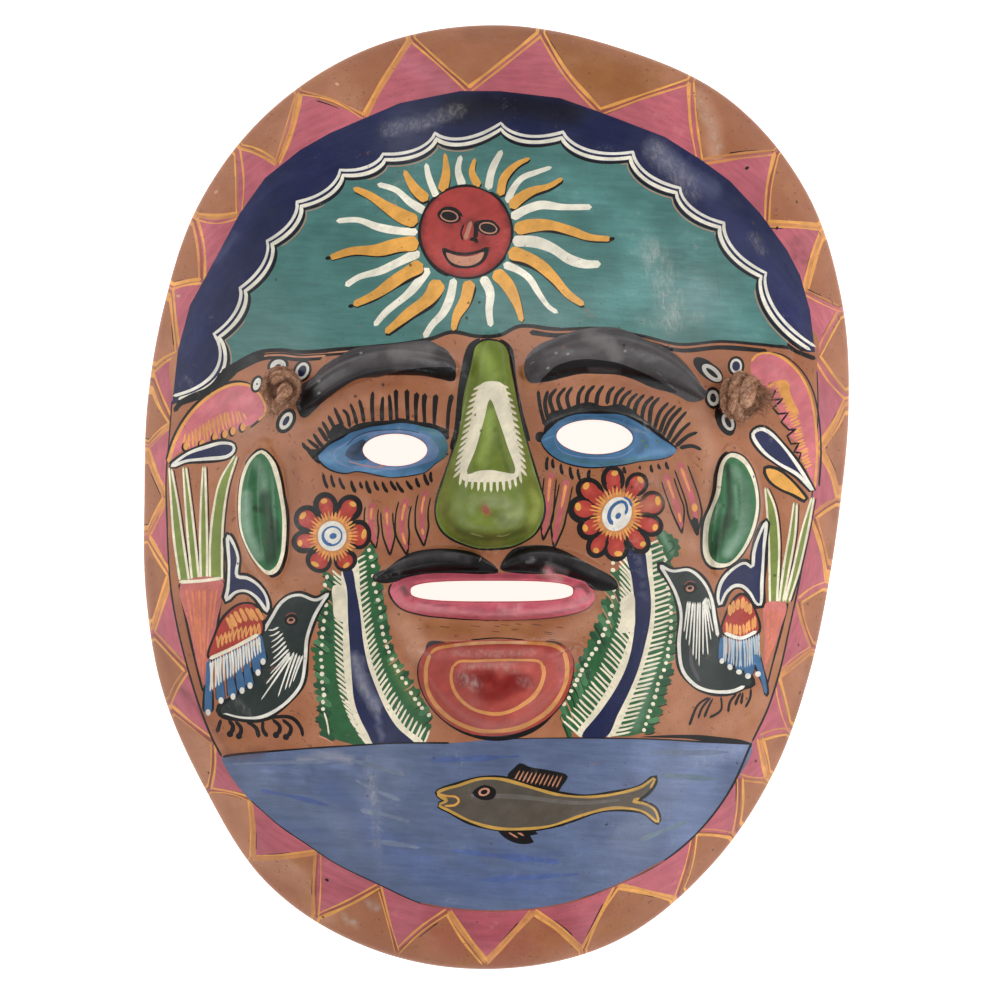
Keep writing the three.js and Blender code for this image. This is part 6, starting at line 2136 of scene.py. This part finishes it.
def carried_frames(route):
    """Two unit vectors across the route at each point, carried along it without a twist."""
    ahead = np.gradient(route, axis=0)
    ahead /= np.linalg.norm(ahead, axis=1)[:, None]
    side = np.cross(ahead[0], (0.31, 0.17, 0.94))
    sides = []
    for way in ahead:
        side = side - way * (side @ way)
        side = side / np.linalg.norm(side)
        sides.append(side)
    sides = np.array(sides)
    return sides, np.cross(ahead, sides)


def between_rings(index):
    """Four-sided faces between each ring of points and the next. index has the points' numbers,
    with the rings along its last axis but one and the places round a ring along its last."""
    beside = np.roll(index, -1, axis=-1)
    corners = (index[..., :-1, :], beside[..., :-1, :], beside[..., 1:, :], index[..., 1:, :])
    return np.stack(corners, -1).reshape(-1, 4)


def twisted(route, radius, sides=26, yarns=YARNS, lay=LAY_LENGTH, groove=0.2):
    """Twisted yarn along a route: each ring's radius is 1 - groove + groove |cos| round it, with as many
    humps as there are yarns, and turns as it goes. Returns points, faces and fibre places, each with a
    fourth number that says how deep the point lies between the yarns, which the jute darkens as painted
    shade."""
    across, up = carried_frames(route)
    steps = np.linalg.norm(np.diff(route, axis=0), axis=1)
    walked = np.concatenate([[0], np.cumsum(steps)])
    angle = np.linspace(0, 2 * math.pi, sides, endpoint=False)[None, :]
    turned = angle - 2 * math.pi * walked[:, None] / lay
    hump = np.abs(np.cos(yarns * turned / 2)) ** 0.8
    reach = np.asarray(radius)[..., None] * (1 - groove + groove * hump)
    points = route[:, None] + across[:, None] * (reach * np.cos(angle))[..., None]
    points = points + up[:, None] * (reach * np.sin(angle))[..., None]
    index = np.arange(len(route) * sides).reshape(len(route), sides)
    faces = between_rings(index)
    fibre = np.stack([np.cos(turned) * 7, np.sin(turned) * 7,
                      np.broadcast_to(walked[:, None] * 0.35, turned.shape), (1 - hump) ** 2], 2)
    return points.reshape(-1, 3), faces, fibre.reshape(-1, 4), index


def closed_ends(faces, index, points, fibre):
    """The tube's faces with a fan on a middle point at each end."""
    faces = [tuple(face) for face in faces.tolist()]
    for ring, order in ((index[0], 1), (index[-1], -1)):
        middle = len(points)
        points = np.concatenate([points, points[ring].mean(0)[None]])
        fibre = np.concatenate([fibre, fibre[ring].mean(0)[None]])
        around = ring[::-order].tolist()
        faces += [(around[k], around[(k + 1) % len(around)], middle) for k in range(len(around))]
    return points, faces, fibre


def hairs(starts, ways, lengths, radius, random):
    """Loose fibres as fine three-sided tubes. Each bends one way by a share of its length."""
    count, rings = len(starts), 6
    t = np.linspace(0, 1, rings)[None, :, None]
    bend = np.cross(ways, random.normal(size=(count, 3)))
    bend /= np.linalg.norm(bend, axis=1)[:, None]
    line = starts[:, None] + (ways[:, None] * t + bend[:, None] * t**2 * 0.45) * lengths[:, None, None]
    other = np.cross(ways, bend)
    angle = np.linspace(0, 2 * math.pi, 3, endpoint=False)
    thin = radius * (1.05 - 0.75 * t)[..., None]
    ring = bend[:, None, None] * np.cos(angle)[None, None, :, None]
    ring = ring + other[:, None, None] * np.sin(angle)[None, None, :, None]
    points = (line[:, :, None] + ring * thin).reshape(-1, 3)
    index = np.arange(count * rings * 3).reshape(count, rings, 3)
    faces = between_rings(index).tolist() + index[:, 0, ::-1].tolist() + index[:, -1].tolist()
    return points, faces


def loose(points):
    """The fibre places of loose hairs, none of them in a hollow."""
    return np.pad(points * 2, ((0, 0), (0, 1)))


def joined(parts):
    """Several (points, faces, fibre places) as one."""
    points, faces, fibres, total = [], [], [], 0
    for part_points, part_faces, part_fibre in parts:
        points.append(part_points)
        faces += [tuple(corner + total for corner in face) for face in part_faces]
        fibres.append(part_fibre)
        total += len(part_points)
    return np.concatenate(points), faces, np.concatenate(fibres)


def jute_piece(name, parts, material):
    """An object of several jute parts, with the map that its fibres follow."""
    points, faces, fibre = joined(parts)
    piece = new_mesh(name, points, faces)
    set_attribute(piece.data, "Fibre", "FLOAT_VECTOR", fibre[:, :3], "vector", "POINT")
    set_attribute(piece.data, "StrandShade", "FLOAT", np.clip(fibre[:, 3], 0, 1), "value", "POINT")
    piece.data.materials.append(material)
    return piece


def smooth_cap(x, y):
    """The height of the cap without its raised forms."""
    return RIM_EDGE + CAP_HEIGHT * cap_profile(np.hypot(x, y) / rim_radius(np.arctan2(y, x)))


def on_shell(place):
    """The point of the smooth cap at a place in plan, and the way out of the clay there."""
    x, y = np.array([place[0]]), np.array([place[1]])
    step = 0.5
    slope_x = (smooth_cap(x + step, y) - smooth_cap(x - step, y)) / (2 * step)
    slope_y = (smooth_cap(x, y + step) - smooth_cap(x, y - step)) / (2 * step)
    outward = np.array([-slope_x[0], -slope_y[0], 1.0])
    return np.array([place[0], place[1], smooth_cap(x, y)[0]]), outward / np.linalg.norm(outward)


def twine_route():
    """The points that the twine follows, from in front of one hole, behind the brow, to the other."""
    left, out_left = on_shell(TWINE_HOLES["left"])
    right, out_right = on_shell(TWINE_HOLES["right"])
    depths = (0, 4, WALL + 1.5)
    start = [left - out_left * depth for depth in depths]
    end = [right - out_right * depth for depth in reversed(depths)]
    return [tuple(p) for p in start] + TWINE_SLACK + [tuple(p) for p in end]


def make_twine(look, material):
    """The length between the knots: three yarns twisted together, with loose fibres."""
    route, length = smooth_route(twine_route(), 340)
    points, faces, fibre, index = twisted(route, np.full(len(route), look.twine_diameter / MM / 2))
    points, faces, fibre = closed_ends(faces, index, points, fibre)
    random = np.random.default_rng(11)
    picks = random.integers(0, index.size, 260)
    picks = picks[points[picks, 2] > 3]
    ways = points[picks] - route[picks // index.shape[1]]
    ways = unit(unit(ways) * 0.4 + random.normal(size=ways.shape) * 0.5)
    fuzz, fuzz_faces = hairs(points[picks], ways, random.uniform(1.2, 2.4, len(picks)), 0.07, random)
    piece = jute_piece("hanging_twine_yarns", [
        (points, faces, fibre), (fuzz, fuzz_faces, loose(fuzz))], material)
    return piece, route * MM, length * MM


# For each knot, the axis that the twine winds round, how high on the ball it starts and stops, the
# core's size, the places of the cut end from the knot's middle, and the fraying of that end
KNOT_SHAPES = {
    "left": {"axis": (0.14, -0.12, 1.0), "leans": (-62, 36), "turns": 2.3, "core": 0.6, "short": 0.0,
             "end": ((1.2, -0.6, 5.4), (0.3, -2.4, 7.4), (-1.3, -5.2, 6.4), (-2.4, -7.4, 4.2)),
             "end_size": 0.78, "fray": 70, "spread": 0.45, "grown": 0.96, "hairs": (0.8, 2.6), "seed": 3,
             "moved": (1.9, 0.9, 0.3)},
    "right": {"axis": (0.95, -0.1, 0.35), "leans": (-62, 44), "turns": 2.4, "core": 0.84, "short": 0.05,
              "end": ((4.6, -0.4, 1.8), (6.4, -0.6, 1.6)),
              "end_size": 1.2, "fray": 420, "spread": 0.8, "grown": 1.14, "hairs": (1.4, 4.2), "seed": 5,
              "moved": (-0.6, 1.2, 0.1)},
}


def knot_core(size, share):
    """A lumpy ball inside a knot of this size, with a radius of the share of it."""
    around = np.linspace(0, 2 * math.pi, 40, endpoint=False)
    u, v = np.meshgrid(around, np.linspace(0, math.pi, 22)[1:-1])
    core = np.stack([np.sin(v) * np.cos(u), np.sin(v) * np.sin(u), np.cos(v)], 2)
    bumps = share + 0.05 * np.sin(7 * u + 3 * v) * np.sin(5 * v)
    points = (core * (size * bumps)[..., None]).reshape(-1, 3)
    index = np.arange(len(points)).reshape(core.shape[:2])
    faces = between_rings(index)[:, [0, 3, 2, 1]]
    # The core is darkened all over, as painted shade inside the knot.
    fibre = np.pad(points * 1.5, ((0, 0), (0, 1)), constant_values=0.85)
    return closed_ends(faces, index[::-1], points, fibre)


def make_knot(side, look, material):
    """A tight knot in front of its hole. The twine winds round an axis, as a spiral on a ball, and
    then its cut end comes out along the axis. A core fills the knot, and loose fibres cover it."""
    shape = KNOT_SHAPES[side]
    random = np.random.default_rng(shape["seed"])
    foot, outward = on_shell(TWINE_HOLES[side])
    size = look.knot_radius / MM * shape["grown"]
    centre = foot + outward * (size * 0.86 + KNOT_GAP) + shape["moved"]
    axis = unit(np.array(shape["axis"]))
    across = unit(np.cross((0.3, 1.0, 0.1), axis))
    other = np.cross(axis, across)
    strand = size * 0.33
    ball = size - strand
    t = np.linspace(0, 1, 14)
    angle = 2 * math.pi * shape["turns"] * t + 0.6
    lean = np.radians(np.interp(t, (0, 1), shape["leans"]))
    wraps = ball * (np.cos(lean) * np.cos(angle))[:, None] * across
    wraps = wraps + ball * (np.cos(lean) * np.sin(angle))[:, None] * other
    wraps = wraps + ball * np.sin(lean)[:, None] * axis
    inner = [wraps[-1] * 0.5 + axis * ball * 0.1, axis * ball * 0.5]
    start = [-outward * size * 0.6, wraps[0] * 0.55 - outward * size * 0.25]
    route, _ = smooth_route(np.concatenate([start, wraps, inner, shape["end"]]), 300)
    share = np.linspace(0, 1, len(route))
    thick = strand * (1 + 0.07 * np.sin(share * 37) + 0.05 * np.sin(share * 91 + 1))
    stub = np.clip((np.linalg.norm(route - route[-1], axis=1) - 7) / -2, 0, 1) * (share > 0.8)
    thick = thick * (1 - stub + stub * shape["end_size"])
    points, faces, fibre, index = twisted(route, thick, 30, 3, 15.0, 0.16)
    points, faces, fibre = closed_ends(faces, index, points, fibre)
    on_stub = np.append(np.repeat(stub, index.shape[1]), (0, 1))
    # Points deep inside the knot are darkened too, as painted shade.
    deep = np.clip((size * 0.97 - np.linalg.norm(points, axis=1)) / (strand * 0.9), 0, 1)
    fibre[:, 3] = np.maximum(fibre[:, 3] * 0.6, deep * (1 - on_stub) * 0.9)
    picks = random.integers(0, len(points) - 2, 1500)
    ways = unit(unit(points[picks]) * 0.45 + random.normal(size=(len(picks), 3)) * 0.55)
    fuzz, fuzz_faces = hairs(points[picks], ways, random.uniform(0.5, 1.6, len(picks)), 0.08, random)
    starts = route[-1] + random.normal(size=(shape["fray"], 3)) * strand * shape["spread"]
    tip_way = unit(route[-1] - route[-12])
    ways = unit(tip_way + random.normal(size=starts.shape) * shape["spread"] * 0.8)
    fray, fray_faces = hairs(starts, ways, random.uniform(*shape["hairs"], len(starts)), 0.1, random)
    parts = []
    for part, part_faces, part_fibre in (
        (points, faces, fibre), knot_core(size, shape["core"]), (fuzz, fuzz_faces, loose(fuzz)),
        (fray, fray_faces, loose(fray)),
    ):
        flat = part - outward * (part @ outward)[:, None] * 0.14
        flat = flat - axis * (part @ axis)[:, None] * shape["short"]
        placed = flat + centre
        above = placed[:, 2] - front_height(*placed[:, :2].T)
        placed[:, 2] += np.maximum(0.15 - above, 0) * (np.abs((placed - foot) @ outward) < 9)
        parts.append((placed, part_faces, part_fibre))
    return jute_piece(f"knot_{side}_twine", parts, material)


class MaskLook(bpy.types.PropertyGroup):
    """Sizes and finishes of the mask and its twine."""

    twine_diameter: bpy.props.FloatProperty(
        name="Twine diameter", description="Thickness of the twisted twine", default=0.004,
        min=0.001, unit="LENGTH")
    knot_radius: bpy.props.FloatProperty(
        name="Knot radius", description="Half the width of a knot across the clay",
        default=KNOT_RADIUS * MM, min=0.002, unit="LENGTH")
    varnish_roughness: bpy.props.FloatProperty(
        name="Varnish roughness", description="How matt the varnish over the paint is",
        default=0.38, min=0.0, max=1.0, subtype="FACTOR")


class StageLook(bpy.types.PropertyGroup):
    """The table, the light and the camera."""

    floor_size: bpy.props.FloatProperty(
        name="Floor size", description="Length of the floor's sides", default=6.0, min=1.0,
        unit="LENGTH")
    floor_colour: bpy.props.FloatVectorProperty(
        name="Floor colour", description="Colour of the table top", default=(0.86, 0.86, 0.86),
        size=3, min=0.0, max=1.0, subtype="COLOR")
    view_height: bpy.props.FloatProperty(
        name="View height", description="How much of the scene the camera takes in",
        default=0.32148, min=0.05, unit="LENGTH")
    table_glow: bpy.props.FloatProperty(
        name="Table glow", description="How brightly the light table shines through its top",
        default=0.95, min=0.0)
    sky: bpy.props.FloatProperty(
        name="Sky", description="Strength of the soft light from all round", default=0.25,
        min=0.0)


class MASK_OT_camera(bpy.types.Operator):
    """Looks straight down on the mask with no perspective, as the photograph does."""

    bl_idname = "terracotta_mask.camera"
    bl_label = "Camera"

    def execute(self, context):
        camera = bpy.data.cameras.new("camera")
        camera.type = "ORTHO"
        camera.ortho_scale = context.scene.stage_look.view_height
        camera.clip_end = 20
        eye = bpy.data.objects.new("camera", camera)
        eye.location = (0.00016, -0.00016, 1.2)
        context.scene.collection.objects.link(eye)
        context.scene.camera = eye
        return {"FINISHED"}


class MASK_OT_twine(bpy.types.Operator):
    """The hanging twine behind the brow, with its knots in front of the two holes."""

    bl_idname = "terracotta_mask.twine"
    bl_label = "Twine and knots"

    def execute(self, context):
        look = context.scene.mask_look
        material = jute()
        for side in ("left", "right"):
            knot = make_knot(side, look, material)
            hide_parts(f"knot_{side}")
            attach(knot, "root")
        twine, route, length = make_twine(look, material)
        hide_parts("hanging_twine")
        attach(twine, "root")
        tuple(route[0])
        return {"FINISHED"}


class MASK_OT_mask(bpy.types.Operator):
    """The clay shell with the painting on its front."""

    bl_idname = "terracotta_mask.mask"
    bl_label = "Painted mask"

    def execute(self, context):
        look = context.scene.mask_look
        mask = make_mask()
        mask.data.materials.append(painted_clay(look))
        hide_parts("mask")
        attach(mask, "root")
        return {"FINISHED"}


# The soft lights: name, direction from the mask, distance, width and height, and power in watts
LIGHTS = (
    ("strip_low", (-0.39, -0.67, 0.63), 1.6, (0.1, 1.0), 3),
    ("strip_right", (0.66, 0.34, 0.67), 1.6, (0.3, 0.6), 6),
    ("strip_high", (-0.26, 0.85, 0.46), 1.6, (0.16, 0.4), 1.2),
    ("strip_water", (0.6, -0.72, 0.34), 1.6, (0.4, 0.3), 3),
    ("window_left", (-0.95, 0.1, 0.62), 1.8, (0.8, 1.0), 10.4),
    ("window_right", (0.95, -0.3, 0.62), 1.8, (0.8, 1.0), 7.6),
    ("overhead", (0.06, 0.42, 0.9), 2.4, (1.0, 0.6), 11),
)


def add_light(name, direction, distance, size, power):
    """A soft light, size wide and high, that faces the mask from a direction."""
    light = bpy.data.lights.new(name, "AREA")
    light.shape = "RECTANGLE"
    light.size, light.size_y = size
    light.energy = power
    lamp = bpy.data.objects.new(name, light)
    way = np.array(direction, float)
    way /= np.linalg.norm(way)
    lamp.location = way * distance
    lamp.rotation_euler = (math.acos(way[2]), 0, math.atan2(way[0], -way[1]))
    bpy.context.scene.collection.objects.link(lamp)


class MASK_OT_stage(bpy.types.Operator):
    """A pale light table and soft studio light."""

    bl_idname = "terracotta_mask.stage"
    bl_label = "Table and light"

    def execute(self, context):
        look = context.scene.stage_look
        half = look.floor_size / MM / 2
        floor = new_mesh("table_top", [(-half, -half, 0), (half, -half, 0), (half, half, 0),
                                       (-half, half, 0)], [(0, 1, 2, 3)])
        made = Looks("table_top")
        shade = made.ramp(made.noise(made.place(), 6, 2), 0.3, 0.7)
        base = tuple(look.floor_colour) + (1.0,)
        pale = made.mix(shade, base, tuple(c * 0.985 for c in base[:3]) + (1.0,))
        made.set(Base_Color=pale, Emission_Color=pale, Roughness=0.8,
                 Emission_Strength=look.table_glow)
        floor.data.materials.append(made.material)
        world = bpy.data.worlds.new("studio")
        world.use_nodes = True
        sky = world.node_tree.nodes["Background"].inputs
        sky["Color"].default_value = (1, 1, 1, 1)
        sky["Strength"].default_value = look.sky
        context.scene.world = world
        context.scene.view_settings.view_transform = "Standard"
        for light in LIGHTS:
            add_light(*light)
        return {"FINISHED"}


STEPS = (MASK_OT_camera, MASK_OT_twine, MASK_OT_mask, MASK_OT_stage)


class MASK_PT_panel(bpy.types.Panel):
    """Lists the steps that build the mask and its sizes and finishes."""

    bl_label = "Terracotta mask"
    bl_idname = "MASK_PT_panel"
    bl_space_type = "VIEW_3D"
    bl_region_type = "UI"
    bl_category = "Terracotta mask"

    def draw(self, context):
        for step in STEPS:
            self.layout.operator(step.bl_idname)
        for look in (context.scene.mask_look, context.scene.stage_look):
            box = self.layout.box()
            for name in look.__annotations__:
                box.prop(look, name)


CLASSES = (MaskLook, StageLook) + STEPS + (MASK_PT_panel,)


def register():
    for kind in CLASSES:
        bpy.utils.register_class(kind)
    bpy.types.Scene.mask_look = bpy.props.PointerProperty(type=MaskLook)
    bpy.types.Scene.stage_look = bpy.props.PointerProperty(type=StageLook)


def unregister():
    del bpy.types.Scene.mask_look
    del bpy.types.Scene.stage_look
    for kind in reversed(CLASSES):
        bpy.utils.unregister_class(kind)


def main():
    register()
    bpy.ops.terracotta_mask.camera()
    bpy.ops.terracotta_mask.twine()
    bpy.ops.terracotta_mask.mask()
    bpy.ops.terracotta_mask.stage()


if __name__ == "__main__":
    main()
